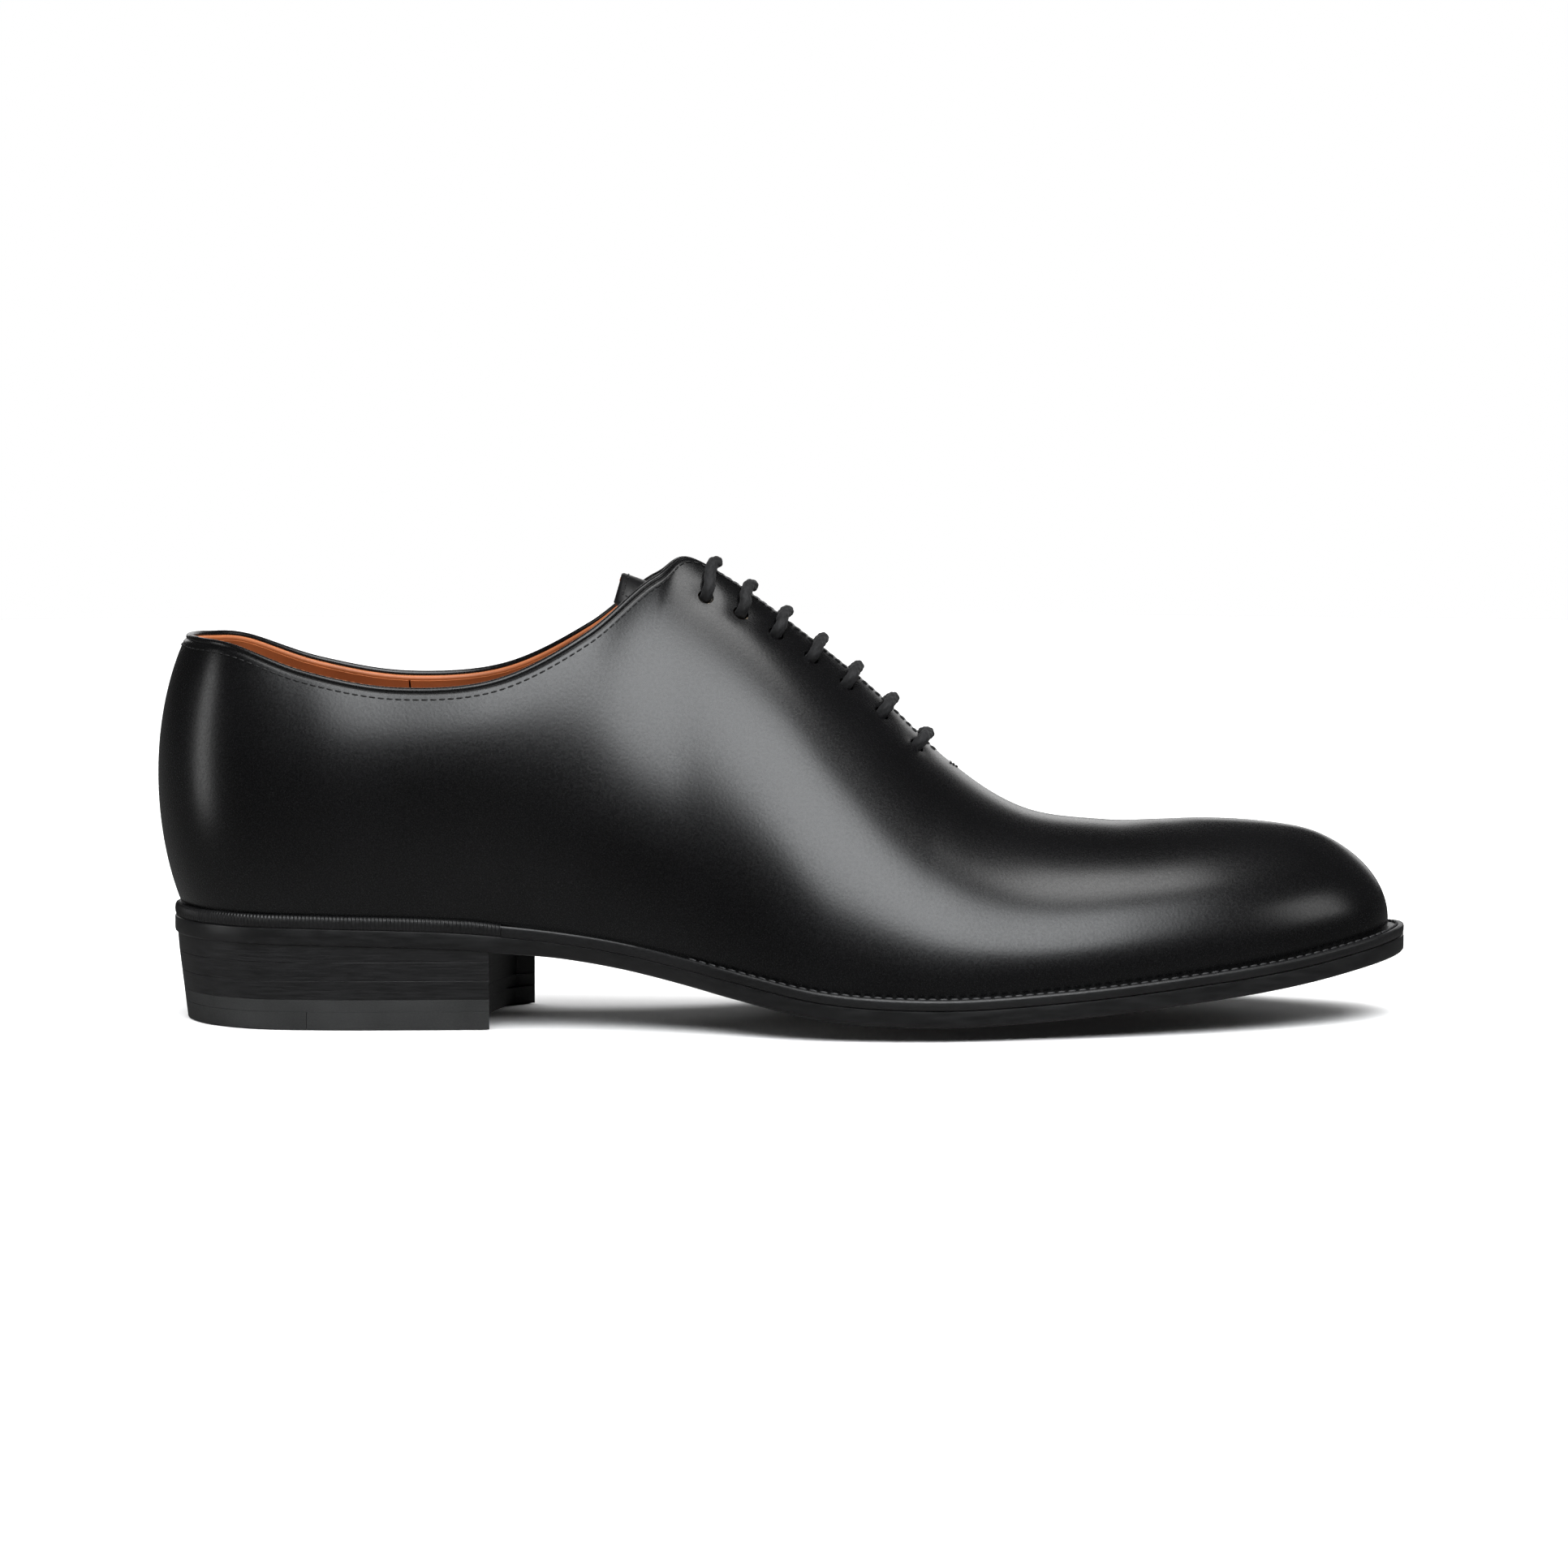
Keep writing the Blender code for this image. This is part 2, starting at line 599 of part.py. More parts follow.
def make_eyelet(name, point, normal):
    """A hidden eyelet: a short barrel under the calf, with its flange let into the lining."""
    profile = [(HOLE, -INSIDE), (HOLE, -UNDER_UPPER), (BARREL, -UNDER_UPPER),
               (BARREL, -FLANGE_TOP), (FLANGE, -FLANGE_TOP), (FLANGE, -INSIDE)]
    cage = bmesh.new()
    rings = []
    for k in range(EYELET_SIDES):
        turn = 2 * math.pi * k / EYELET_SIDES
        rings.append([cage.verts.new((r * MM * math.cos(turn), r * MM * math.sin(turn), z * MM))
                      for r, z in profile])
    for k, ring in enumerate(rings):
        after = rings[(k + 1) % len(rings)]
        for p in range(len(profile)):
            q = (p + 1) % len(profile)
            cage.faces.new((ring[p], ring[q], after[q], after[p]))
    bmesh.ops.recalc_face_normals(cage, faces=cage.faces)
    mesh = bpy.data.meshes.new(name)
    cage.to_mesh(mesh)
    cage.free()
    item = add_object(name, mesh, brass())
    item.rotation_mode = "QUATERNION"
    item.rotation_quaternion = Vector((0, 0, 1)).rotation_difference(Vector(normal))
    item.location = Vector(place(point))


def along_surface(step, normal):
    """Unit direction of a step, flattened into the surface with this normal."""
    step = step - normal * float(np.dot(step, normal))
    return step / np.linalg.norm(step)


def lace_route():
    """Straight bars over the facings, joined by short runs under them, from the lowest pair to the top."""
    over, under, bend = GAP + LACE + 0.1, INSIDE + GAP + LACE, 1.8
    route = []

    def through_hole(pair, side, inward, towards):
        """Points of the turn at a hole: over the facing and down, or the reverse."""
        point, normal, _ = surface_frame(*hole_place(pair, side))
        aim, to_ridge = (along_surface(target - point, normal)
                         for target in (towards, surface_frame(crossing(pair, side), 1.0)[0]))
        turn = [point + normal * over + to_ridge * bend,
                point + normal * (over - 0.3 * bend) + to_ridge * 0.3 * bend,
                point + normal * (over - bend),
                point - normal * (under - bend),
                point - normal * (under - 0.3 * bend) + aim * 0.3 * bend,
                point - normal * under + aim * bend]
        return turn if inward else turn[::-1]

    def half_bar(pair, side):
        """Points of a bar on its way from the hole up to the ridge."""
        at, rise = hole_place(pair, side)
        points = []
        for part in (0.4, 0.75):
            point, normal, _ = surface_frame(at + (crossing(pair, side) - at) * part, rise + (1 - rise) * part)
            points.append(point + normal * (over + 0.1))
        return points

    def tail(pairs, side):
        """Points of a tucked-in end, beside the facing's edge and under the lining."""
        points = []
        for pair in pairs:
            point, normal, _ = surface_frame(*hole_place(pair, side, EYELET_OUT + TAIL_OUT))
            points.append(point - normal * (under + 0.5))
        return points

    side = -1
    low_tail = tail((2.2, 3.2, 4.2, 5.2), side)
    start, _, _ = surface_frame(*hole_place(EYELETS - 1.6, side, EYELET_OUT + TAIL_OUT))
    route += low_tail + through_hole(EYELETS - 1, side, False, start)
    for pair in range(EYELETS - 1, -1, -1):
        ridge, _, _ = surface_frame(crossing(pair), 1.0)
        crown = [ridge * (1.0, 0.0, 1.0) + ridge_normal(pair) * (over + 0.1)]
        route += half_bar(pair, side) + crown + half_bar(pair, -side)[::-1]
        side = -side
        if pair:
            upper_hole, _, _ = surface_frame(*hole_place(pair - 1, side))
            this_hole, _, _ = surface_frame(*hole_place(pair, side))
            route += through_hole(pair, side, True, upper_hole)
            route += through_hole(pair - 1, side, False, this_hole)
    end, _, _ = surface_frame(*hole_place(0.8, side, EYELET_OUT + TAIL_OUT))
    route += through_hole(0, side, True, end)
    route += tail((1.2, 2.2, 3.2, 4.2), side)
    return np.array(route)


def ridge_normal(pair):
    """Upward normal of the ridge line where a lace bar crosses it."""
    at = crossing(pair)
    run = top_edge(at + 0.02) - top_edge(at - 0.02)
    normal = np.array([-run[2], 0.0, run[0]])
    return normal / np.linalg.norm(normal)


def make_lace():
    route = lace_route()
    tube("lace", route, LACE, lace_cotton())
    for name, end, beyond in (("aglet_outer", route[0], route[1]), ("aglet_inner", route[-1], route[-2])):
        run = (end - beyond) / np.linalg.norm(end - beyond)
        cylinder(name, end + run * GAP, end + run * (GAP + AGLET), LACE, 10, brass())


# ---------------------------------------------------------------- tongue
TONGUE_X = [113.5, 119, 126, 134, 146, 163, 178, 188]
TONGUE_Z = [108.4, 106.4, 103.0, 97.9, 89.9, 77.2, 64.8, 56.6]
TONGUE_HALF = [11.5, 12.5, 11.5, 11.0, 12.0, 14.0, 15.0, 15.0]
TONGUE_DROP = [6.5, 8.0, 8.8, 8.8, 8.6, 7.6, 6.0, 5.0]
TONGUE_THICK = 1.1
HINGE = (190.0, 0.0, 55.5)


def make_tongue():
    """A curved flap under the facings, and its lining; both turn about the stitching at the throat."""
    along = np.linspace(0, 1, 10)
    spread = np.linspace(-1, 1, 7)
    steps = np.linspace(0, 1, len(TONGUE_X))
    x = np.interp(along, steps, TONGUE_X)
    half = hermite(TONGUE_X, TONGUE_HALF, x)[:, None]
    drop = hermite(TONGUE_X, TONGUE_DROP, x)[:, None]
    crown = hermite(TONGUE_X, TONGUE_Z, x)[:, None]
    face = np.stack(np.broadcast_arrays(x[:, None] - 2.0 * spread ** 2 * (1 - along[:, None]),
                                        half * spread, crown - drop * spread ** 2), -1)
    normals = grid_normals(face)
    normals *= np.sign(normals[..., 2:3])
    lining_top = TONGUE_THICK + GAP
    hinge = bpy.data.objects.new("tongue_hinge", None)
    hinge.location = Vector(place(HINGE))
    shoe.objects.link(hinge)
    for name, top, low, material in (("tongue", 0.0, TONGUE_THICK, black_calf()),
                                     ("tongue_lining", lining_top, lining_top + LINING, tan_lining())):
        item = closed_shell(name, face - normals * top, face - normals * low, material)
        item.parent = hinge
        item.matrix_parent_inverse.translation = -hinge.location


# ---------------------------------------------------------------- bottom
def above_sole(thickness):
    return lambda x, y: under_sole(x, y) + thickness


def make_bottom():
    """Outsole, welt, rand, rib, filler, shank, insole and heel pad, from the ground up."""
    seat = OUTSOLE + GAP
    floor = seat_height
    plate("insole", 0, COLUMNS, INSOLE_INSET,
          (lambda x, y: floor(x, y) + UPPER + 2 * GAP, lambda x, y: floor(x, y) + UPPER + 2 * GAP + INSOLE),
          bare_leather())
    pad_floor = UPPER + 3 * GAP + INSOLE
    plate("heel_pad", 0, column(6), INSOLE_INSET + 0.8,
          (lambda x, y: floor(x, y) + pad_floor, lambda x, y: floor(x, y) + pad_floor + LINING), tan_lining())
    forepart = range(column(5.9), column(5.9, True) + 1)
    rib_of(range(column(6), column(6, True) + 1), ((0.0, False), (MARGIN, True)),
           (above_sole(seat), floor), "welt", sole_leather())
    heel = range(column(5.3, True), column(5.3) + 2 * COLUMNS + 1)
    rib_of(heel, ((0.4, False), (MARGIN, True)), (above_sole(seat), floor), "heel_rand", sole_leather())
    rib_of(forepart, ((MARGIN + GAP, True), (MARGIN + GAP + RIB, True)),
           (above_sole(seat), lambda x, y: floor(x, y) + UPPER + GAP), "insole_rib", fibre_board())
    plate("cork_filler", column(8.7), COLUMNS, MARGIN + 2 * GAP + RIB,
          (above_sole(seat), lambda x, y: floor(x, y) + UPPER + GAP), cork())
    return plate("outsole", 0, COLUMNS, 0.0, (above_sole(0.0), above_sole(OUTSOLE)), sole_leather(),
                 from_feather=False)


def make_shank():
    """A sprung steel strip in the waist, between the heel seat and the ball."""
    x = np.linspace(66, 138, 8)
    lean = 3.0 * smooth_step(x, 80, 120)
    faces = []
    for lift in (OUTSOLE + 2 * GAP, OUTSOLE + 2 * GAP + 1.2):
        rails = [np.stack([x, lean * -1 + side, under_sole(x, -lean) + lift], 1) for side in (-7.0, 7.0)]
        faces.append(np.stack(rails, 1))
    closed_shell("shank", faces[1], faces[0], spring_steel())


def breast_x(y):
    """The heel's front face: hollow, and further forward on the inner side."""
    share = (np.asarray(y, float) + 33) / 66
    return BREAST_OUTER + (BREAST_INNER - BREAST_OUTER) * share - BREAST_HOLLOW * (1 - (2 * share - 1) ** 2)


def heel_outline(lean, x_from, x_to):
    """The heel seen from above: round the back edge, then along the front line, as one ring."""
    outer_end = find(lambda s: float(edge(s, lean)[0][0]), 2, 8, min(BREAST_OUTER, x_to))
    inner_end = find(lambda s: float(edge(-s, lean)[0][0]), 2, 8, min(BREAST_INNER, x_to))
    if x_from < 0:
        rim, _ = edge(np.linspace(-inner_end, outer_end, 27), lean)
    else:
        outer_start = find(lambda s: float(edge(s, lean)[0][0]), 1, 8, x_from)
        inner_start = find(lambda s: float(edge(-s, lean)[0][0]), 1, 8, x_from)
        rim = np.concatenate([edge(np.linspace(-inner_end, -inner_start, 8), lean)[0],
                              edge(np.linspace(outer_start, outer_end, 8), lean)[0]])
    if x_to < BREAST_OUTER:
        return rim
    y = np.linspace(rim[-1, 1], rim[0, 1], 9)[1:-1]
    return np.concatenate([rim, np.stack([breast_x(y), y], -1)])


def heel_slice(name, z_low, z_high, material, x_from=-1.0, x_to=200.0):
    """One layer of the heel: its outline at the lower and the upper face, leaning in towards the ground."""
    rings = []
    for z in (z_low, z_high):
        lean = HEEL_TAPER * (25.0 - (19.5 if callable(z) else z))
        ring = heel_outline(lean, x_from, x_to)
        height = z(ring[:, 0], ring[:, 1]) if callable(z) else np.full(len(ring), z)
        rings.append(np.concatenate([ring, height[:, None]], 1))
    count = len(rings[0])
    faces = [list(range(count)), [count + k for k in reversed(range(count))]]
    faces += [[k, (k + 1) % count, count + (k + 1) % count, count + k] for k in range(count)]
    return finished_mesh(name, np.concatenate(rings), faces, material)


def make_heel(outsole):
    """Two-part top piece, a thin leather layer, three lifts and the nails that hold them."""
    low = TOP_PIECE + GAP
    layers = [
        heel_slice("top_piece_rubber", 0.0, TOP_PIECE, heel_rubber(), x_to=TOP_PIECE_SPLIT),
        heel_slice("top_piece_leather", 0.0, TOP_PIECE, sole_leather(), x_from=TOP_PIECE_SPLIT + GAP),
        heel_slice("top_piece_base", low, low + SEAT_LIFT, sole_leather()),
    ]
    z = low + SEAT_LIFT + GAP
    lifts = []
    for number in (1, 2):
        lifts.append(heel_slice(f"heel_lift_{number}", z, z + LIFT, heel_leather()))
        z += LIFT + GAP
    lifts.append(heel_slice("heel_lift_3", z, above_sole(-GAP), heel_leather()))
    bores = []
    for number, (x, y) in enumerate(NAILS, 1):
        foot, head = (x, y, low + SEAT_LIFT + GAP + 1.0), (x, y, float(under_sole(x, y)) + OUTSOLE)
        above = (x, y, float(under_sole(x, y)) + OUTSOLE + 2)
        bores.append(hide_cutter(cylinder(f"nail_bore_{number}", (x, y, foot[2] - GAP), above, NAIL_HOLE, 8,
                                          brass(), cutters)))
        cylinder(f"heel_nail_{number}", foot, head, NAIL, 8, brass())
    for item in lifts + [outsole]:
        cut(item, bores)
    return layers + lifts


upper = make_upper()
stays = make_stiffeners()
linings = make_linings()
make_bead()
make_eyelets(upper, stays, linings)
make_lace()
make_tongue()
make_shank()
make_heel(make_bottom())
bpy.context.view_layer.update()
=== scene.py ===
"""Finished surfaces of a black wholecut oxford round its fixed frame: calf, linings, lace, welt, sole, heel.

Lengths in the shape functions are millimetres from the heel's back (x), from the last's middle line (y, the
outer side negative) and from the ground (z). put() turns them into metres about the footprint's middle.
"""
import functools
import math

import bmesh
import bpy
import numpy as np
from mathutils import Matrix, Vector


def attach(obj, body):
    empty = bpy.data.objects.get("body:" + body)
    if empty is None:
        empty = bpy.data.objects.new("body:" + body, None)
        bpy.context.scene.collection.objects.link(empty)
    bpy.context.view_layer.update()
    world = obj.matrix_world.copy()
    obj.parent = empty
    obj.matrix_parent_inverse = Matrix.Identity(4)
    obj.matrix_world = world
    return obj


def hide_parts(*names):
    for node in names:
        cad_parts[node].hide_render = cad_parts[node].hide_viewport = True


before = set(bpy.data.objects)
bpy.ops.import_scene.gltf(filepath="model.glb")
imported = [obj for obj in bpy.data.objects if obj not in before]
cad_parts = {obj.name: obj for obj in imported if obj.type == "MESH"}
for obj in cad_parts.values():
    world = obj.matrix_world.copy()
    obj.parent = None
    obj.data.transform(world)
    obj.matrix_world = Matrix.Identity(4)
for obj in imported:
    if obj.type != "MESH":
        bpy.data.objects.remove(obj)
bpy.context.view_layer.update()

bl_info = {
    "name": "Wholecut oxford",
    "version": (1, 0, 0),
    "blender": (4, 5, 0),
    "location": "View3D > Sidebar > Shoe",
    "description": "Builds the visible surfaces of a wholecut oxford shoe",
    "category": "Add Mesh",
}

MM = 0.001
BODY, FLAP = "shoe_body", "tongue_flap"
LENGTH, SIDE_SHIFT = 305.0, 1.9

# ---------------------------------------------------------------- stations of the last, as in the part
# Seventeen stations run from the heel's back (0) to the toe (16). TOP_Y counts only up to the peak.
PEAK, THROAT, TOE = 8, 10, 16
EDGE_X = [4, 10, 24, 42, 62, 84, 106, 126, 143, 163, 188, 212, 240, 266, 287, 300, 305]
EDGE_OUTER = [0, 18.5, 30, 33, 33, 32.2, 33.5, 38.5, 45.5, 52.2, 54, 50.5, 43.5, 34, 22, 10, -5]
EDGE_INNER = [0, 18.5, 30, 33, 31.2, 27, 24, 24.8, 28.5, 37.5, 46.8, 50.4, 48.3, 40.8, 30, 19.5, 5]
TOP_X = [7, 10.5, 20, 38, 60, 84, 106, 122.5, 134, 170, 193, 211, 230, 243, 252, 258, 262]
TOP_Y = [0, 12, 21, 26.5, 28.8, 28.6, 22.8, 10, 0, 10, 0, 0, 0, 0, 0, 0, 0]
TOP_Z = [94.5, 94.2, 93, 86.9, 83.2, 85.2, 96, 109, 110.5, 84.3, 62.6, 51, 47.9, 47.9, 48.3, 48.5, 48.7]
STAND_OUT = [1.5, 1.5, 1.5, 1.5, 1.5, 1.5, 1.3, 1.6, 2.6, 3.6, 4, 4, 4, 4, 4, 4, 4]
LOW_OUT_OUTER = [6.7, 6.7, 6, 5.5, 5, 5.5, 6, 5, 4, 2.5, 2.5, 3, 3, 3, 2.5, 1.5, 1.5]
LOW_OUT_INNER = [6.7, 6.7, 6, 5.5, 6, 9, 12, 12, 10, 6, 3, 3, 3, 3, 2.5, 1.5, 1.5]
LOW_UP = [17, 17, 18, 18, 18, 19, 22, 26, 28, 28, 20, 16, 14.5, 14, 14, 14, 14.4]
HIGH_OUT = [9.5, 9.5, 9, 9, 8, 8, 11, 17, 20, 24, 27, 27, 26, 25, 24, 23, 23]
HIGH_DOWN = [20.5, 20.5, 20, 18, 17, 19, 25, 24, 9, 3, 1, 0.3, 0, 0, 0, 0, -0.2]
TOE_LEAN = 3.5
SOLE_X = [4, 40, 81, 112, 140, 160, 187, 220, 250, 278, 305]
SOLE_Z = [21.0, 20.6, 19.0, 15.2, 9.3, 5.2, 3.4, 4.7, 7.4, 10.7, 15.7]
CROSS_ROUND = 800.0

GAP = 0.3                                       # between pieces that touch
UPPER, LINING_FACE, INSIDE = 1.2, 2.6, 3.4      # depths of the upper's back and of the lining's two faces
OUTSOLE, WELT, RAND, INSOLE = 4.0, 2.4, 2.9, 3.0
MARGIN = 6.0                                    # upper turned in under the insole
SLIT = 0.16                                     # half the slit between the facings
EDGE_ROLL = 0.35                                # how far the upper's edge is rolled over
PRESSED, PRESSED_WIDTH = 0.28, 3.0              # the calf's dip round a hole, and how wide it is
BEAD, BEAD_IN = 0.75, 0.85
STITCH_IN, LINING_STITCH_IN, SEAM_HALF = 1.9, 2.6, 0.09
EYELETS, FIRST_EYELET, EYELET_STEP, EYELET_OUT, BAR_LEAN = 7, 134.0, 8.55, 9.0, 1.8
HOLE, TAIL_OUT = 2.0, 7.0
TONGUE_X = [113.5, 119, 126, 134, 146, 163, 178, 188]
TONGUE_Z = [108.4, 106.4, 103.0, 97.9, 89.9, 77.2, 64.8, 56.6]
TONGUE_HALF = [11.5, 12.5, 11.5, 11.0, 12.0, 14.0, 15.0, 15.0]
TONGUE_DROP = [6.5, 8.0, 8.8, 8.8, 8.6, 7.6, 6.0, 5.0]
TONGUE_THICK = 1.1
WELT_START, RAND_END = 5.045, 5.04              # stations where the welt and the rand meet
HEEL_TAPER, HEEL_TOP, HEEL_SOFT, SEAT_LOW = 0.12, 25.0, 0.07, 19.5
TOP_PIECE, TOP_PIECE_SPLIT, SEAT_LIFT, LIFT, SEAM_LINE = 4.0, 38.0, 2.7, 4.3, 0.02
BREAST_OUTER, BREAST_INNER, BREAST_HOLLOW, BREAST_HALF = 82.0, 91.0, 6.0, 33.0


# ---------------------------------------------------------------- settings shown in the sidebar
class ShoeSizes(bpy.types.PropertyGroup):
    lace_radius: bpy.props.FloatProperty(
        name="Lace radius", description="Half the thickness of the lace", default=0.00142, unit="LENGTH")
    stitch_pitch: bpy.props.FloatProperty(
        name="Stitch pitch", description="Length of one stitch on the upper", default=0.0021, unit="LENGTH")
    welt_pitch: bpy.props.FloatProperty(
        name="Welt stitch pitch", description="Length of one welt stitch", default=0.0026, unit="LENGTH")
    rib_pitch: bpy.props.FloatProperty(
        name="Rand rib pitch", description="Distance between the ribs pressed round the heel",
        default=0.00093, unit="LENGTH")


class ShoeColours(bpy.types.PropertyGroup):
    calf: bpy.props.FloatVectorProperty(
        name="Calf", description="Colour of the upper", subtype="COLOR", default=(0.0016, 0.0016, 0.0018))
    lining: bpy.props.FloatVectorProperty(
        name="Lining", description="Colour of the linings", subtype="COLOR", default=(0.31, 0.095, 0.03))
    edge: bpy.props.FloatVectorProperty(
        name="Sole edge", description="Colour of the dyed sole edge", subtype="COLOR",
        default=(0.0045, 0.0045, 0.0048))
    stack: bpy.props.FloatVectorProperty(
        name="Heel stack", description="Colour of the heel's leather lifts", subtype="COLOR",
        default=(0.0065, 0.0065, 0.007))
    lace: bpy.props.FloatVectorProperty(
        name="Lace", description="Colour of the lace", subtype="COLOR", default=(0.005, 0.005, 0.0055))


def sizes():
    return bpy.context.scene.shoe_sizes


def colours():
    return bpy.context.scene.shoe_colours


# ---------------------------------------------------------------- curves through the stations
def through(values, at):
    """Catmull-Rom curve through evenly spaced values that close into a loop."""
    values, at = np.asarray(values, float), np.asarray(at, float)
    low = np.floor(at).astype(int)
    part = at - low
    p0, p1, p2, p3 = (values[(low + k) % len(values)] for k in (-1, 0, 1, 2))
    return p1 + 0.5 * part * (p2 - p0 + part * (2 * p0 - 5 * p1 + 4 * p2 - p3
                                                + part * (3 * (p1 - p2) + p3 - p0)))


def loop(outer, inner=None, mirrored=False):
    """Values of the outer side, then of the inner side back to the heel."""
    inner = outer if inner is None else inner
    sign = -1.0 if mirrored else 1.0
    return [sign * v for v in outer] + list(inner[-2:0:-1])


def smooth_step(x, start, end):
    part = np.clip((np.asarray(x, float) - start) / (end - start), 0, 1)
    return part * part * (3 - 2 * part)


def unit(vectors):
    return vectors / np.maximum(np.linalg.norm(vectors, axis=-1, keepdims=True), 1e-9)


def fold_of(at):
    """Station of a loop position, the same on both sides."""
    at = np.asarray(at, float) % (2 * TOE)
    return np.minimum(at, 2 * TOE - at)


def lengths_along(path):
    """Length run from the start of a path to each of its points."""
    return np.concatenate([[0], np.cumsum(np.linalg.norm(np.diff(path, axis=0), axis=1))])


def stand_out(at):
    """Width of the sole beyond the upper."""
    return through(loop(STAND_OUT), at)


def edge(at, inset=0.0):
    """The sole's edge in plan at a loop position, moved inwards by inset, and its outward normal."""
    xs, ys = loop(EDGE_X), loop(EDGE_OUTER, EDGE_INNER, mirrored=True)
    point = np.stack([through(xs, at), through(ys, at)], -1)
    ahead = np.stack([through(xs, at + 0.01), through(ys, at + 0.01)], -1)
    behind = np.stack([through(xs, at - 0.01), through(ys, at - 0.01)], -1)
    run = ahead - behind
    normal = unit(np.stack([run[..., 1], -run[..., 0]], -1))
    return point - normal * np.asarray(inset)[..., None], normal


def hermite(xs, zs, x):
    """A smooth line through the points of a side view."""
    xs, zs = np.asarray(xs, float), np.asarray(zs, float)
    slope = np.gradient(zs, xs)
    x = np.clip(np.asarray(x, float), xs[0], xs[-1])
    k = np.clip(np.searchsorted(xs, x) - 1, 0, len(xs) - 2)
    span = xs[k + 1] - xs[k]
    p = (x - xs[k]) / span
    return (zs[k] * (1 + 2 * p) * (1 - p) ** 2 + slope[k] * span * p * (1 - p) ** 2
            + zs[k + 1] * p * p * (3 - 2 * p) + slope[k + 1] * span * p * p * (p - 1))


RIM_AT = np.linspace(0, TOE, 161)
RIM_OUTER, RIM_INNER = edge(RIM_AT)[0], edge(2 * TOE - RIM_AT)[0]


def under_sole(x, y):
    """Height of the outsole's lower face: its edge line, less the roundness across the forepart."""
    y_outer = np.interp(x, RIM_OUTER[:, 0], RIM_OUTER[:, 1])
    y_inner = np.interp(x, RIM_INNER[:, 0], RIM_INNER[:, 1])
    half, middle = (y_inner - y_outer) / 2, (y_inner + y_outer) / 2
    sag = np.maximum(half ** 2 - (y - middle) ** 2, 0) / CROSS_ROUND
    return hermite(SOLE_X, SOLE_Z, x) - sag * smooth_step(x, 90, 150)


def seat_height(x, y):
    """Top of the welt, or of the rand round the heel."""
    edging = WELT + (RAND - WELT) * (1 - smooth_step(x, 76, 92))
    return under_sole(x, y) + OUTSOLE + GAP + edging


def feather(at, extra=0.0):
    """The line round the last where the upper meets the welt."""
    plan, normal = edge(at, stand_out(at) + extra)
    height = seat_height(plan[..., 0], plan[..., 1]) + 0.05
    return np.concatenate([plan, height[..., None]], -1), normal


def top_edge(at):
    """The topline round the foot opening, then the ridge from the instep to the toe."""
    fold = fold_of(at)
    side = np.where(np.asarray(at, float) % (2 * TOE) < TOE, -1.0, 1.0)
    x = through(loop(TOP_X), fold)
    z = through(loop(TOP_Z), fold)
    half = through(loop(TOP_Y), fold)
    half = np.where(fold >= PEAK, SLIT, np.maximum(half, SLIT))
    half = np.where(fold <= 1.5, through(loop(TOP_Y, TOP_Y, True), -fold), half)
    half = half * (1 - smooth_step(fold, THROAT - 0.25, THROAT))
    lean = TOE_LEAN * smooth_step(fold, THROAT + 1, TOE)
    lowered = (2 * BEAD + GAP) * (1 - smooth_step(fold, PEAK - 0.9, PEAK - 0.1))
    return np.stack([x, side * half + lean, z - lowered], -1)


def wall(at, rise):
    """The upper's outer face: a cubic section from the feather line (rise 0) to the top edge (rise 1)."""
    at = np.asarray(at, float)
    foot, outward = feather(at)
    head = top_edge(at)
    fold = fold_of(at)
    outward = np.concatenate([outward, np.zeros(outward.shape[:-1] + (1,))], -1)
    across = (foot - head) * (1.0, 1.0, 0.0)
    reach = np.linalg.norm(across, axis=-1, keepdims=True)
    blend = smooth_step(fold, PEAK - 2, PEAK)[..., None]
    across = unit(across / np.maximum(reach, 0.1) * blend + outward * (1 - blend))
    up = np.array([0.0, 0.0, 1.0])
    low_out = through(loop(LOW_OUT_OUTER, LOW_OUT_INNER), at)[..., None]
    low_up = through(loop(LOW_UP), fold)[..., None]
    high_out = through(loop(HIGH_OUT), fold)[..., None]
    high_down = through(loop(HIGH_DOWN), fold)[..., None]
    low = foot + outward * low_out + up * low_up
    high = head + across * high_out - up * high_down
    r = np.asarray(rise, float)[..., None]
    return ((1 - r) ** 3 * foot + 3 * r * (1 - r) ** 2 * low
            + 3 * r * r * (1 - r) * high + r ** 3 * head)


def merge(points):
    """Number of each point, the same for points that coincide."""
    flat = np.round(points.reshape(-1, 3) * 500).astype(np.int64)
    _, numbers = np.unique(flat, axis=0, return_inverse=True)
    return numbers.reshape(points.shape[:-1])


def grid_normals(points):
    """Outward normal at each point of a grid, averaged over the quads round it."""
    numbers = merge(points)
    face = np.cross(points[1:, 1:] - points[:-1, :-1], points[:-1, 1:] - points[1:, :-1])
    total = np.zeros((numbers.max() + 1, 3))
    for corner in (numbers[:-1, :-1], numbers[1:, :-1], numbers[:-1, 1:], numbers[1:, 1:]):
        np.add.at(total, corner.ravel(), face.reshape(-1, 3))
    return unit(total)[numbers]


def side_positions():
    """Loop positions of one side's columns: closer together along the facings."""
    return np.concatenate([np.arange(0, 7, 0.1), np.arange(7, 10.4, 0.04), np.arange(10.4, 16, 0.1), [16.0]])


SIDE_AT = side_positions()
LOOP = np.concatenate([SIDE_AT, 2 * TOE - SIDE_AT[-2::-1]])
FOLD = fold_of(LOOP)
COUNT = len(LOOP) - 1
ROWS = np.concatenate([np.linspace(0, 0.6, 26), np.linspace(0.6, 0.97, 30)[1:],
                       [0.98, 0.987, 0.993, 0.997, 1.0]])


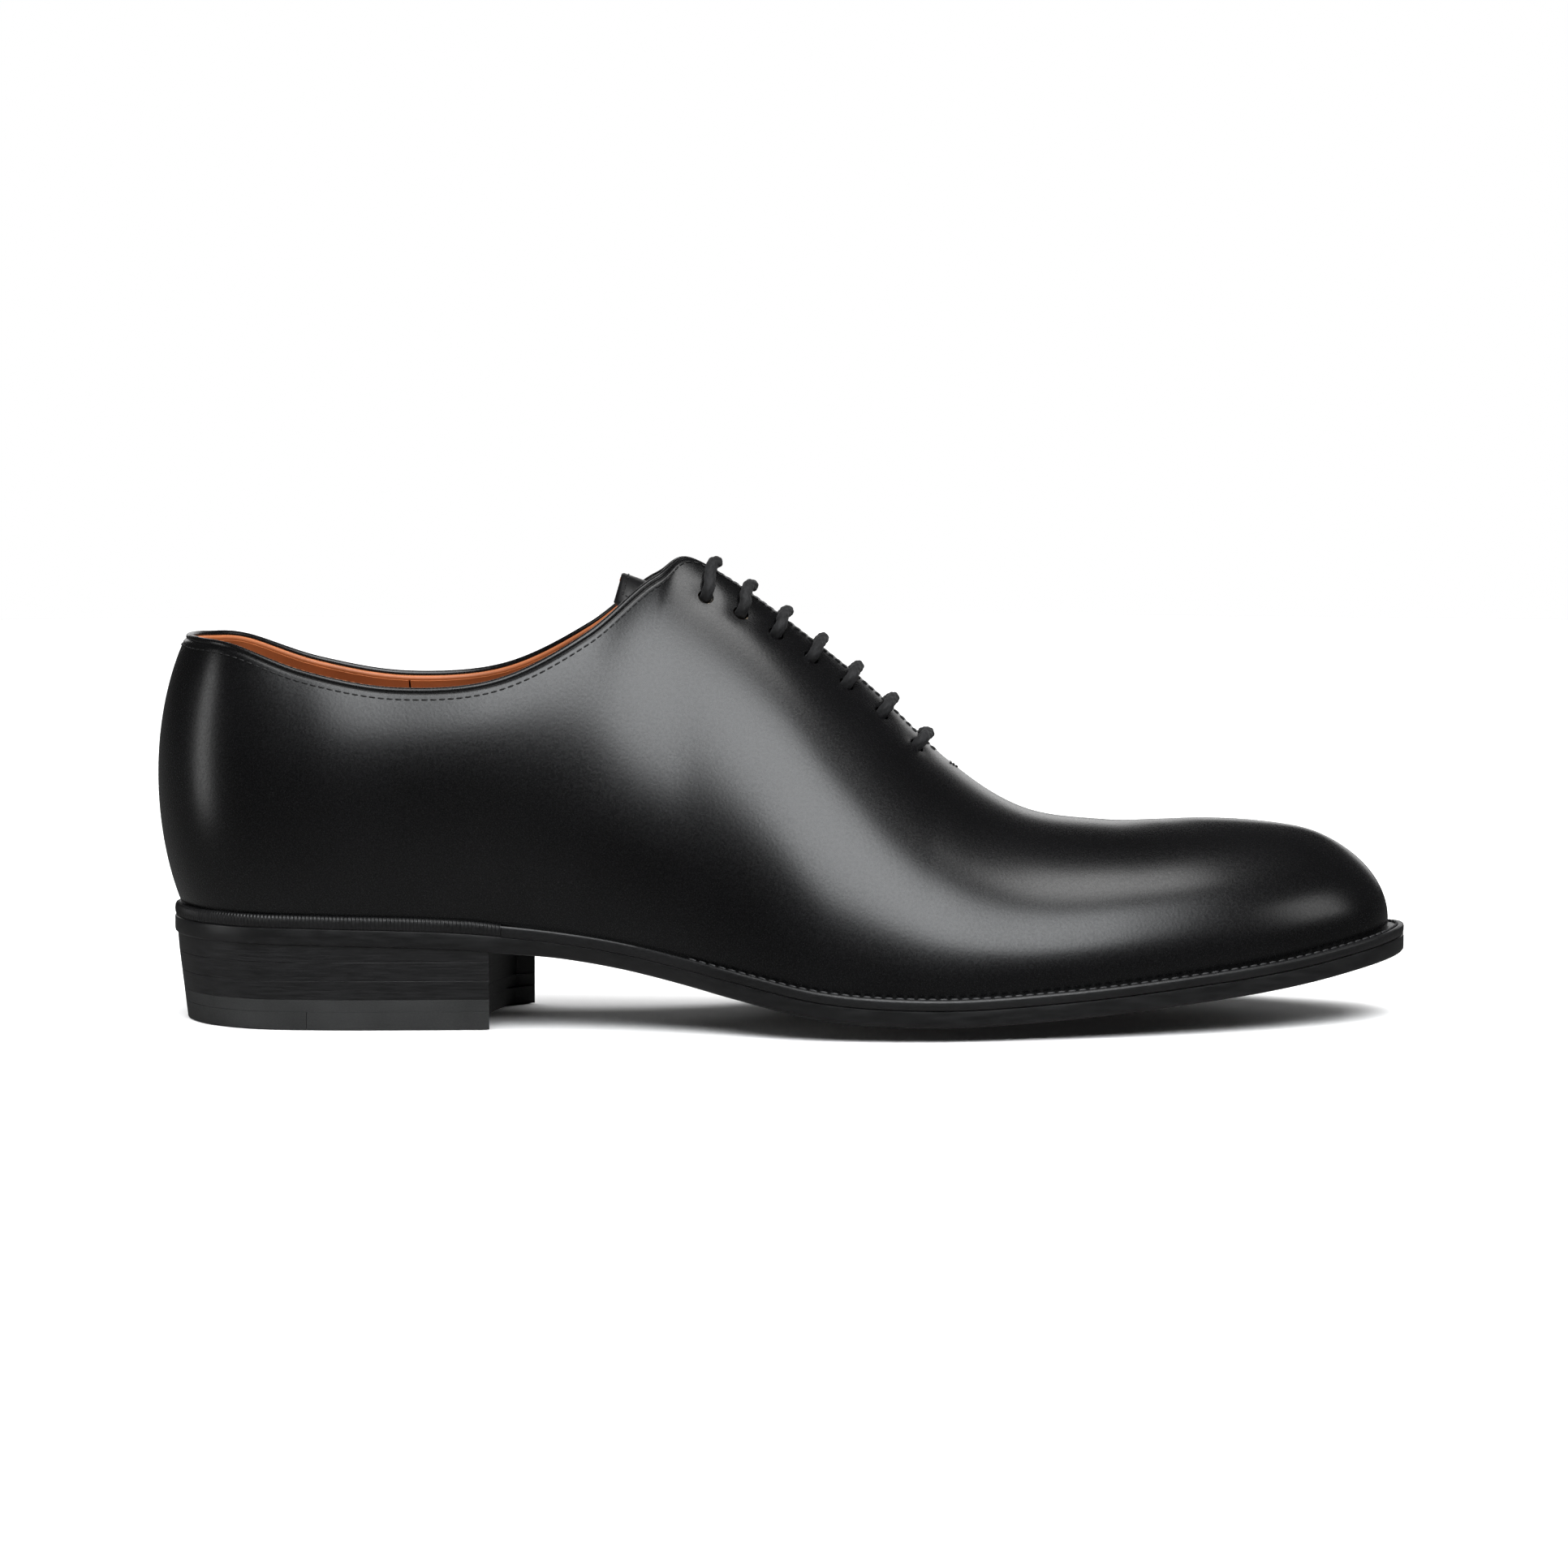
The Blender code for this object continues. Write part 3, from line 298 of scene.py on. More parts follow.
def relaxed(points):
    """The wall with each row averaged along the loop round the peak, less and less towards its edges."""
    gap = np.abs(LOOP[:, None] - LOOP[None, :])
    gap = np.minimum(gap, 2 * TOE - gap)
    reach = 0.03 + 0.6 * np.exp(-((FOLD - PEAK) / 1.2) ** 2)[:, None]       # stations averaged over
    share = np.exp(-(gap / reach) ** 2) * np.gradient(LOOP)[None, :]
    share /= share.sum(1, keepdims=True)
    soft = np.tensordot(share, points, 1)
    fade = (smooth_step(ROWS, 0.05, 0.3) * (1 - smooth_step(ROWS, 0.84, 1.0)))[None, :, None]
    return points + (soft - points) * fade


def eased(points):
    """The wall with its vamp smoothed near the ridge: heights come from planes fitted to nearby points."""
    columns, rows = np.nonzero(FOLD > THROAT)[0], np.nonzero(ROWS > 0.55)[0]
    fold = FOLD[columns][:, None]
    part = points[np.ix_(columns, rows)]
    size = np.linalg.norm(np.cross(np.gradient(part, axis=0), np.gradient(part, axis=1)), axis=-1).ravel()
    x, y, z = part.reshape(-1, 3).T
    share = np.exp(-((x[:, None] - x) ** 2 + (y[:, None] - y) ** 2) / 5.0 ** 2)
    terms = share @ (size[:, None] * np.stack([x * 0 + 1, x, y, x * x, x * y, y * y, z, x * z, y * z], 1))
    n, sx, sy, sxx, sxy, syy, sz, sxz, syz = terms.T / terms[:, 0]
    left = np.stack([n, sx, sy, sx, sxx, sxy, sy, sxy, syy], -1).reshape(-1, 3, 3)
    plane = np.linalg.solve(left, np.stack([sz, sxz, syz], -1)[..., None])[..., 0]
    fitted = (plane[:, 0] + plane[:, 1] * x + plane[:, 2] * y).reshape(part.shape[:2])
    away = np.linalg.norm(part - part[:, -1:], axis=-1)
    share = smooth_step(fold, THROAT + 0.05, THROAT + 0.9) * (1 - smooth_step(away, 8, 24))
    lift = (fitted - part[..., 2]) * share
    lift -= lift[:, -1:] * np.exp(-(away / 12.0) ** 2) * (1 - smooth_step(fold, 13, 15.5))
    points[np.ix_(columns, rows, [2])] += lift[..., None]
    return points


WALL = eased(relaxed(wall(LOOP[:, None], ROWS[None, :])))
WALL_NORMAL = grid_normals(WALL)


def column(station, inner=False):
    """Number of the fine wall's column nearest to a station."""
    number = int(np.argmin(np.abs(SIDE_AT - station)))
    return COUNT - number if inner else number


# ---------------------------------------------------------------- meshes
def put(points):
    """Millimetres on the last to metres about the middle of the footprint."""
    return (np.asarray(points, float) + (-LENGTH / 2, SIDE_SHIFT, 0.0)) * MM


def mesh_object(name, points, quads, triangles=(), material=None, smooth_angle=40.0):
    """An object at the origin from millimetre points, quads and triangles, put in with foreach_set."""
    mesh = bpy.data.meshes.new(name)
    quads = np.asarray(quads, np.int32).reshape(-1, 4)
    triangles = np.asarray(triangles, np.int32).reshape(-1, 3)
    corners = np.concatenate([quads.ravel(), triangles.ravel()])
    starts = np.concatenate([np.arange(len(quads)) * 4, len(quads) * 4 + np.arange(len(triangles)) * 3])
    mesh.vertices.add(len(points))
    mesh.vertices.foreach_set("co", put(points).ravel().astype(np.float32))
    mesh.loops.add(len(corners))
    mesh.loops.foreach_set("vertex_index", corners)
    mesh.polygons.add(len(starts))
    mesh.polygons.foreach_set("loop_start", starts.astype(np.int32))
    mesh.update(calc_edges=True)
    mesh.validate()
    cage = bmesh.new()
    cage.from_mesh(mesh)
    bmesh.ops.recalc_face_normals(cage, faces=cage.faces)
    if cage.calc_volume(signed=True) < 0:
        bmesh.ops.reverse_faces(cage, faces=cage.faces)
    cage.to_mesh(mesh)
    cage.free()
    mesh.shade_smooth()
    mesh.set_sharp_from_angle(angle=math.radians(smooth_angle))
    item = bpy.data.objects.new(name, mesh)
    bpy.context.scene.collection.objects.link(item)
    if material:
        mesh.materials.append(material)
    return item


def averaged(points, numbers):
    """Mean of the points that share a number."""
    total, hits = np.zeros((numbers.max() + 1, 3)), np.zeros((numbers.max() + 1, 1))
    np.add.at(total, numbers.ravel(), points.reshape(-1, 3))
    np.add.at(hits, numbers.ravel(), 1.0)
    return total / hits


def welded(points):
    """Distinct points of a grid, and its quads and triangles after coinciding points are merged."""
    numbers = merge(points)
    quads = np.stack([numbers[:-1, :-1], numbers[1:, :-1], numbers[1:, 1:], numbers[:-1, 1:]], -1)
    quads = quads.reshape(-1, 4)
    same = quads == np.roll(quads, 1, axis=1)
    whole, once = quads[~same.any(1)], quads[same.sum(1) == 1]
    keep = ~same[same.sum(1) == 1]
    return averaged(points, numbers), whole, once[keep].reshape(-1, 3)


def skin(name, points, material, smooth_angle=40.0):
    """A closed surface from a grid whose seams and poles coincide."""
    spots, quads, triangles = welded(points)
    return mesh_object(name, spots, quads, triangles, material, smooth_angle)


def shell(name, outer, inner, material):
    """A closed sheet between two like grids: both faces, and a rim along every open edge."""
    numbers = merge(outer)
    count = numbers.max() + 1
    layers = [averaged(grid, numbers) for grid in (outer, inner)]
    _, quads, triangles = welded(outer)
    runs = [np.stack([face, np.roll(face, -1, axis=1)], -1).reshape(-1, 2) for face in (quads, triangles)]
    edges = np.concatenate(runs)
    key = edges[:, 0] * count + edges[:, 1]
    back = edges[:, 1] * count + edges[:, 0]
    rim = edges[~np.isin(key, back)]
    sides = np.stack([rim[:, 1], rim[:, 0], rim[:, 0] + count, rim[:, 1] + count], -1)
    quads = np.concatenate([quads, quads[:, ::-1] + count, sides])
    triangles = np.concatenate([triangles, triangles[:, ::-1] + count]) if len(triangles) else triangles
    return mesh_object(name, np.concatenate(layers), quads, triangles, material)


def capped(grid, ends=None):
    """A grid of rings with its first and last ring closed to a point, by default the ring's middle."""
    first, last = (grid[0].mean(0), grid[-1].mean(0)) if ends is None else ends
    caps = [np.repeat(point[None, None], grid.shape[1], axis=1) for point in (first, last)]
    return np.concatenate([caps[0], grid, caps[1]])


def frames_along(path):
    """Unit tangent and two cross directions along a path, the first of them level."""
    tangent = unit(np.gradient(path, axis=0))
    up = np.array([0.0, 0.0, 1.0]) + tangent * 0
    first = unit(np.cross(tangent, up) + (0.0, 1e-4, 0.0))
    return tangent, first, np.cross(tangent, first)


def tube(name, path, radius, material, around=16, frame_of=None):
    """A round cord: circles of the radius, which may vary along and round it, carried along the path."""
    _, first, second = frame_of or frames_along(path)
    turn = np.linspace(0, 2 * np.pi, around + 1)
    ring = first[:, None] * np.cos(turn)[None, :, None] + second[:, None] * np.sin(turn)[None, :, None]
    reach = np.broadcast_to(radius, ring.shape[:2])[..., None]
    body = path[:, None] + ring * reach
    body[:, -1] = body[:, 0]
    return skin(name, capped(body, (path[0], path[-1])), material, 60.0)


def resample(path, step):
    """Points along a path at an even step."""
    lengths = lengths_along(path)
    wanted = np.arange(0, lengths[-1], step)
    return np.stack([np.interp(wanted, lengths, path[:, k]) for k in range(3)], -1)


def stitches(name, path, normals, pitch, radius, material, share=0.74, sink=0.35):
    """A row of stitches: one small spindle per pitch along the path, a little sunk into the leather."""
    both = np.concatenate([path, normals], 1)
    lengths = lengths_along(path)
    wanted = np.arange(pitch / 2, lengths[-1], pitch)
    spots = np.stack([np.interp(wanted, lengths, both[:, k]) for k in range(6)], -1)
    ahead = np.stack([np.interp(wanted + 0.1, lengths, path[:, k]) for k in range(3)], -1)
    behind = np.stack([np.interp(wanted - 0.1, lengths, path[:, k]) for k in range(3)], -1)
    along, out = unit(ahead - behind), unit(spots[:, 3:])
    side = unit(np.cross(along, out))
    u = np.linspace(0, np.pi, 7)
    v = np.linspace(0, 2 * np.pi, 8, endpoint=False)
    half = pitch * share / 2
    spindle = np.stack(np.broadcast_arrays(-np.cos(u)[:, None] * half + 0 * v,
                                           np.sin(u)[:, None] ** 0.6 * np.cos(v) * radius,
                                           np.sin(u)[:, None] ** 0.6 * np.sin(v) * radius), -1)
    return scatter(name, spindle, spots[:, :3] + out * radius * (1 - 2 * sink), along, side, out, material)


def scatter(name, grid, spots, along, side, out, material):
    """Copies of one small spindle, a grid of rings between two poles, one at each spot in its directions."""
    basis = np.stack([along, side, out], 1)
    copies = spots[:, None, None] + np.einsum("uvk,nkj->nuvj", grid, basis)
    n, rows, cols = copies.shape[:3]
    points = np.concatenate([copies[:, 0, :1], copies[:, 1:-1].reshape(n, -1, 3), copies[:, -1, :1]], 1)
    number = 1 + np.arange((rows - 2) * cols).reshape(rows - 2, cols)
    after = np.roll(number, -1, axis=1)
    quads = np.stack([number[:-1], after[:-1], after[1:], number[1:]], -1).reshape(-1, 4)
    pole = np.full(cols, points.shape[1] - 1)
    triangles = np.concatenate([np.stack([after[0], number[0], 0 * pole], -1),
                                np.stack([number[-1], after[-1], pole], -1)])
    base = (np.arange(n) * points.shape[1])[:, None, None]
    return mesh_object(name, points.reshape(-1, 3), (quads + base).reshape(-1, 4),
                       (triangles + base).reshape(-1, 3), material, 80.0)


def fit(item, body=BODY, replaces=()):
    """Tie a finished piece to its body, and hide the plain solids it stands for."""
    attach(item, body)
    if replaces:
        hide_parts(*replaces)
    return item


# ---------------------------------------------------------------- shader node groups
def new_group(name, inputs, outputs):
    group = bpy.data.node_groups.new(name, "ShaderNodeTree")
    for label, kind, value in inputs:
        socket = group.interface.new_socket(label, in_out="INPUT", socket_type=kind)
        socket.default_value = value
    for label, kind in outputs:
        group.interface.new_socket(label, in_out="OUTPUT", socket_type=kind)
    return group, group.nodes.new("NodeGroupInput"), group.nodes.new("NodeGroupOutput")


def add_node(tree, kind, **values):
    node = tree.nodes.new(kind)
    for label, value in values.items():
        setattr(node, label, value)
    return node


def maths(tree, operation, a, b=None, c=None):
    node = add_node(tree, "ShaderNodeMath", operation=operation)
    for socket, value in zip(node.inputs, (a, b, c)):
        if value is None:
            continue
        if isinstance(value, (int, float)):
            socket.default_value = value
        else:
            tree.links.new(value, socket)
    return node.outputs[0]


@functools.cache
def grain_group():
    """Leather grain: fine pebbled cells under a soft roll. Gives a height, a tone and a gloss value."""
    number = "NodeSocketFloat"
    group, source, sink = new_group(
        "leather_grain", [("Cells", number, 1800.0), ("Roll", number, 120.0), ("Depth", number, 1.0)],
        [("Height", number), ("Tone", number), ("Gloss", number)])
    place = add_node(group, "ShaderNodeTexCoord").outputs["Object"]
    cells = add_node(group, "ShaderNodeTexVoronoi", feature="SMOOTH_F1")
    fine = add_node(group, "ShaderNodeTexNoise")
    roll = add_node(group, "ShaderNodeTexNoise")
    fine.inputs["Detail"].default_value = 3.0
    roll.inputs["Detail"].default_value = 2.0
    for node, scale in ((cells, source.outputs["Cells"]), (fine, source.outputs["Cells"]),
                        (roll, source.outputs["Roll"])):
        group.links.new(place, node.inputs["Vector"])
        group.links.new(scale, node.inputs["Scale"])
    mixed = maths(group, "MULTIPLY_ADD", fine.outputs["Fac"], 0.6, cells.outputs["Distance"])
    height = maths(group, "MULTIPLY", maths(group, "MULTIPLY_ADD", roll.outputs["Fac"], 1.2, mixed),
                   source.outputs["Depth"])
    group.links.new(height, sink.inputs["Height"])
    group.links.new(roll.outputs["Fac"], sink.inputs["Tone"])
    group.links.new(fine.outputs["Fac"], sink.inputs["Gloss"])
    return group


@functools.cache
def strata_group():
    """Edge of stacked or split leather: thin level lines, broken up along their length."""
    number = "NodeSocketFloat"
    group, source, sink = new_group(
        "leather_strata", [("Lines", number, 2600.0), ("Break", number, 160.0)],
        [("Height", number), ("Tone", number)])
    place = add_node(group, "ShaderNodeTexCoord").outputs["Object"]
    split = add_node(group, "ShaderNodeSeparateXYZ")
    join = add_node(group, "ShaderNodeCombineXYZ")
    lines = add_node(group, "ShaderNodeTexNoise")
    lines.inputs["Scale"].default_value = 1.0
    lines.inputs["Detail"].default_value = 4.0
    group.links.new(place, split.inputs[0])
    for axis, scale in ((0, "Break"), (1, "Break"), (2, "Lines")):
        scaled = maths(group, "MULTIPLY", split.outputs[axis], source.outputs[scale])
        group.links.new(scaled, join.inputs[axis])
    group.links.new(join.outputs[0], lines.inputs["Vector"])
    group.links.new(lines.outputs["Fac"], sink.inputs["Height"])
    group.links.new(lines.outputs["Fac"], sink.inputs["Tone"])
    return group


def shaded(name, **sockets):
    """A material and its Principled shader, with constant values set on the shader's own sockets."""
    material = bpy.data.materials.new(name)
    material.use_nodes = True
    shader = material.node_tree.nodes["Principled BSDF"]
    for label, value in sockets.items():
        shader.inputs[label.replace("_", " ")].default_value = value
    return material, material.node_tree, shader


def placed(tree, group, **values):
    node = add_node(tree, "ShaderNodeGroup", node_tree=group)
    for label, value in values.items():
        node.inputs[label].default_value = value
    return node


def ramp(tree, value, low, high, start=0.35, end=0.65):
    """Colour between low and high as a value goes from start to end."""
    node = add_node(tree, "ShaderNodeValToRGB")
    node.color_ramp.elements[0].position, node.color_ramp.elements[1].position = start, end
    node.color_ramp.elements[0].color, node.color_ramp.elements[1].color = (*low, 1.0), (*high, 1.0)
    tree.links.new(value, node.inputs[0])
    return node.outputs[0]


def span(tree, value, low, high):
    node = add_node(tree, "ShaderNodeMapRange")
    for socket, number in zip(("From Min", "From Max", "To Min", "To Max"), (0.3, 0.7, low, high)):
        node.inputs[socket].default_value = number
    tree.links.new(value, node.inputs["Value"])
    return node.outputs["Result"]


def bumped(tree, shader, height, distance, strength):
    node = add_node(tree, "ShaderNodeBump")
    node.inputs["Distance"].default_value = distance
    node.inputs["Strength"].default_value = strength
    tree.links.new(height, node.inputs["Height"])
    tree.links.new(node.outputs["Normal"], shader.inputs["Normal"])


def toned(colour, contrast):
    return (tuple(c * k for c in colour) for k in (1 - contrast, 1 + contrast))


def leather(name, colour, gloss, cells=1700.0, roll=45.0, bump=0.00006, strength=0.35, contrast=0.25,
            **sockets):
    """Leather with grain: the tone drifts slowly, and the gloss breaks up in the grain."""
    material, tree, shader = shaded(name, **sockets)
    grain = placed(tree, grain_group(), Cells=cells, Roll=roll)
    tree.links.new(ramp(tree, grain.outputs["Tone"], *toned(colour, contrast)), shader.inputs["Base Color"])
    tree.links.new(span(tree, grain.outputs["Gloss"], gloss[0], gloss[1]), shader.inputs["Roughness"])
    bumped(tree, shader, grain.outputs["Height"], bump, strength)
    return material


def strata(name, colour, gloss, lines, contrast, strength):
    """Cut edge of leather: thin level lines in tone and height."""
    material, tree, shader = shaded(name)
    layer = placed(tree, strata_group(), Lines=lines)
    tree.links.new(ramp(tree, layer.outputs["Tone"], *toned(colour, contrast)), shader.inputs["Base Color"])
    tree.links.new(span(tree, layer.outputs["Tone"], gloss[0], gloss[1]), shader.inputs["Roughness"])
    bumped(tree, shader, layer.outputs["Height"], 0.00006, strength)
    return material


@functools.cache
def polished_calf():
    return leather("polished_calf", tuple(colours().calf), (0.24, 0.3), cells=1500.0, roll=30.0, bump=0.00005,
                   strength=0.17)


@functools.cache
def tongue_calf():
    return leather("tongue_calf", tuple(colours().calf), (0.36, 0.48), cells=1300.0, bump=0.00008,
                   strength=0.4)


@functools.cache
def lining_calf():
    return leather("lining_calf", tuple(colours().lining), (0.42, 0.6), cells=1500.0, roll=60.0, bump=0.00007,
                   contrast=0.16)


@functools.cache
def welt_leather():
    return leather("welt_leather", tuple(colours().edge), (0.34, 0.46), cells=1100.0, bump=0.00008,
                   strength=0.4)


@functools.cache
def sole_edge():
    return strata("sole_edge", tuple(colours().edge), (0.32, 0.44), lines=900.0, contrast=0.3, strength=0.3)


@functools.cache
def heel_edge():
    return strata("heel_edge", tuple(colours().stack), (0.34, 0.44), lines=3400.0, contrast=0.4,
                  strength=0.45)


@functools.cache
def rubber():
    return leather("heel_rubber", (0.016, 0.0165, 0.0165), (0.6, 0.75), cells=2600.0, bump=0.00005,
                   strength=0.3)


@functools.cache
def undyed():
    return leather("undyed_leather", (0.45, 0.26, 0.13), (0.6, 0.75), cells=1200.0, contrast=0.15)


@functools.cache
def board():
    return leather("stiffener_board", (0.4, 0.3, 0.2), (0.75, 0.85), cells=900.0, contrast=0.2)


@functools.cache
def cork_crumb():
    return leather("cork_crumb", (0.3, 0.17, 0.09), (0.8, 0.9), cells=500.0, roll=400.0, bump=0.0004,
                   contrast=0.5)


@functools.cache
def metal(name, colour):
    return leather(name, colour, (0.25, 0.4), cells=3000.0, bump=0.00001, contrast=0.08, Metallic=1.0)


@functools.cache
def thread(name, colour):
    return leather(name, colour, (0.45, 0.6), cells=5200.0, strength=0.6, contrast=0.3)


@functools.cache
def lace_cotton():
    """Waxed cotton: fine fibres over the braid, which the lace has in its own shape."""
    return leather("waxed_cotton", tuple(colours().lace), (0.6, 0.8), cells=4200.0, roll=300.0, bump=0.0001,
                   strength=0.6, contrast=0.35, Sheen_Weight=0.03, Sheen_Roughness=0.5,
                   Specular_IOR_Level=0.35)


# ---------------------------------------------------------------- places on the upper
def surface_frame(at, rise):
    """A point of the upper's outer face, its outward normal and the direction up to the ridge."""
    c = float(np.interp(at, LOOP, np.arange(len(LOOP))))
    r = float(np.interp(rise, ROWS, np.arange(len(ROWS))))
    c0, r0 = int(c), min(int(r), len(ROWS) - 2)
    u, v = c - c0, r - r0

    def blend(grid):
        low = grid[c0, r0] * (1 - u) + grid[c0 + 1, r0] * u
        high = grid[c0, r0 + 1] * (1 - u) + grid[c0 + 1, r0 + 1] * u
        return low * (1 - v) + high * v, high - low

    point, up = blend(WALL)
    normal, _ = blend(WALL_NORMAL)
    return point, unit(normal), unit(up)


def find(function, low, high, wanted):
    """The place between low and high where a rising function takes the wanted value."""
    for _ in range(24):
        middle = (low + high) / 2
        low, high = (middle, high) if function(middle) < wanted else (low, middle)
    return (low + high) / 2


@functools.cache
def hole_place(pair, side, out=EYELET_OUT):
    """Loop position and rise of a hole of a pair, on side -1 (outer) or 1 (inner)."""
    def spot(fold):
        at = fold if side < 0 else 2 * TOE - fold
        return at, find(lambda r: -abs(float(surface_frame(at, r)[0][1])), 0.5, 1.0, -out)

    x = FIRST_EYELET + EYELET_STEP * pair
    return spot(find(lambda f: float(surface_frame(*spot(f))[0][0]), PEAK - 1, THROAT, x))


def crossing(pair, side=-1):
    """Loop position where a pair's lace bar crosses the ridge."""
    x = FIRST_EYELET + EYELET_STEP * pair + BAR_LEAN
    fold = find(lambda f: float(top_edge(f)[0]), PEAK, THROAT, x)
    return fold if side < 0 else 2 * TOE - fold


def ridge_normal(pair):
    """Upward normal of the ridge line where a lace bar crosses it."""
    at = crossing(pair)
    run = top_edge(at + 0.02) - top_edge(at - 0.02)
    return unit(np.array([-run[2], 0.0, run[0]]))


def outwards(normals, path, middle=(150.0, 0.0, 45.0)):
    """Normals turned to point away from the middle of the shoe."""
    return normals * np.sign(np.einsum("ij,ij->i", normals, path - middle))[:, None]


def below_edge(at, distance):
    """Points of the outer face at a distance down from the top edge, and the normals there."""
    rises = 1 - np.linspace(0, 0.3, 121)
    lines = wall(at[:, None], rises[None, :])
    gone = np.concatenate([np.zeros((len(at), 1)),
                           np.cumsum(np.linalg.norm(np.diff(lines, axis=1), axis=-1), axis=1)], 1)
    step = np.clip(np.argmax(gone >= distance, axis=1), 1, len(rises) - 1)
    rows = np.arange(len(at))
    part = (distance - gone[rows, step - 1]) / (gone[rows, step] - gone[rows, step - 1])
    rise = rises[step - 1] + (rises[step] - rises[step - 1]) * part
    point = wall(at, rise)
    up = wall(at, rise + 0.004) - wall(at, rise - 0.004)
    along = wall(at + 0.004, rise) - wall(at - 0.004, rise)
    return point, unit(np.cross(along, up))


# ---------------------------------------------------------------- pieces
def make_upper():
    """The upper: fine wall and turned-in margin, its open edge rolled over, pressed in round each hole."""
    _, outward = feather(LOOP)
    margin, _ = feather(LOOP, MARGIN)
    foot_normal = np.concatenate([outward, -np.ones((len(LOOP), 1))], 1)
    down = np.tile((0.0, 0.0, -1.0), (len(LOOP), 1))
    open_edge = 1 - smooth_step(FOLD, THROAT - 0.2, THROAT)
    roll = EDGE_ROLL * open_edge[:, None] * smooth_step(ROWS, 0.985, 1.0) ** 2
    face = WALL - WALL_NORMAL * roll[..., None]
    for side in (-1, 1):
        for pair in range(EYELETS):
            centre, _, _ = surface_frame(*hole_place(pair, side))
            away = np.linalg.norm(face - centre, axis=-1, keepdims=True)
            face = face - WALL_NORMAL * PRESSED * np.exp(-(away / PRESSED_WIDTH) ** 2)
    points = np.concatenate([margin[:, None], face], 1)
    normals = np.concatenate([down[:, None], foot_normal[:, None], WALL_NORMAL[:, 1:]], 1)
    under = points - normals * UPPER
    item = shell("upper_surface", points, keep_apart(under), polished_calf())
    punch(item)
    return fit(item, BODY, ("upper_wholecut",))


def keep_apart(points):
    """Keep the facings' edges on their own side of the slit between them."""
    side = np.where(LOOP < TOE, -1.0, 1.0)[:, None]
    in_slit = ((FOLD > PEAK - 1.5) & (FOLD < THROAT - 0.3))[:, None]
    kept = side * np.maximum(side * points[..., 1], SLIT)
    points[..., 1] = np.where(in_slit, kept, points[..., 1])
    return points


def punch(item):
    """Cut the fourteen lace holes through the upper."""
    cage = bmesh.new()
    for side in (-1, 1):
        for pair in range(EYELETS):
            point, normal, _ = surface_frame(*hole_place(pair, side))
            turn = Vector((0, 0, 1)).rotation_difference(Vector(normal)).to_matrix().to_4x4()
            turn.translation = Vector(put(point))
            bmesh.ops.create_cone(cage, cap_ends=True, segments=28, radius1=HOLE * MM, radius2=HOLE * MM,
                                  depth=0.008, matrix=turn)
    mesh = bpy.data.meshes.new("hole_punch")
    cage.to_mesh(mesh)
    cage.free()
    tool = bpy.data.objects.new("hole_punch", mesh)
    bpy.context.scene.collection.objects.link(tool)
    step = item.modifiers.new("holes", "BOOLEAN")
    step.operation, step.solver, step.object = "DIFFERENCE", "MANIFOLD", tool
    bpy.context.view_layer.update()
    graph = bpy.context.evaluated_depsgraph_get()
    cut = bpy.data.meshes.new_from_object(item.evaluated_get(graph))
    item.modifiers.clear()
    item.data = cut
    bpy.data.objects.remove(tool)


def make_linings():
    """The four lining leathers, each a sheet a constant depth under the upper's outer face."""
    spans = {
        "heel_lining": (column(4, True) - COUNT, column(4)),
        "quarter_lining_outer": (column(4), column(12)),
        "vamp_lining": (column(12), column(12, True)),
        "quarter_lining_inner": (column(12, True), column(4, True)),
    }
    rows = np.arange(3, len(ROWS), 2)
    for name, (start, end) in spans.items():
        columns = np.arange(start, end + 1, 2) % COUNT
        faces = []
        for depth in (LINING_FACE, INSIDE):
            points = keep_apart(WALL - WALL_NORMAL * depth)[np.ix_(columns, rows)]
            points[0] += (points[1] - points[0]) * 0.05
            points[-1] += (points[-2] - points[-1]) * 0.05
            faces.append(points)
        fit(shell(f"{name}_surface", faces[0], faces[1], lining_calf()), BODY, (name,))


def topline_path(lift, inward, end, count=300):
    """Line round the foot opening, lifted above the upper's edge and set inward; it sinks in at the peak."""
    at = np.linspace(-end, end, count)
    line = top_edge(at)
    normal = grid_normals(wall(at[:, None], np.array([0.97, 1.0])[None, :]))[:, 1]
    rise = unit(np.cross(np.gradient(line, axis=0), normal))
    rise *= np.sign(rise[:, 2:3])
    sunk = smooth_step(np.abs(at), PEAK - 0.9, PEAK + 0.1)[:, None]
    return line + rise * (lift - 1.3 * BEAD * sunk) - normal * inward


def make_topline():
    """The rolled edge round the foot opening, and the lining turned up behind it."""
    path = topline_path(BEAD * 0.8, BEAD_IN, PEAK + 0.15)
    fit(tube("topline_bead", path, BEAD * 1.1, polished_calf()), BODY, ("topline_binding",))
    lining_path = topline_path(0.1, LINING_FACE - 0.2, PEAK - 1.3)
    fit(tube("lining_turned_edge", lining_path, 0.75, lining_calf()), BODY, ())


def tongue_face(along, spread):
    """The tongue's upper face: a crown line, falling as the square of the distance from it."""
    steps = np.linspace(0, 1, len(TONGUE_X))
    x = np.interp(along, steps, TONGUE_X)
    half, drop, crown = (hermite(TONGUE_X, values, x) for values in (TONGUE_HALF, TONGUE_DROP, TONGUE_Z))
    corner = 1 - 0.18 * np.clip((0.08 - along) / 0.08, 0, 1) ** 2
    return np.stack(np.broadcast_arrays(x - 2.0 * spread ** 2 * (1 - along), half * corner * spread,
                                        crown - drop * spread ** 2), -1)


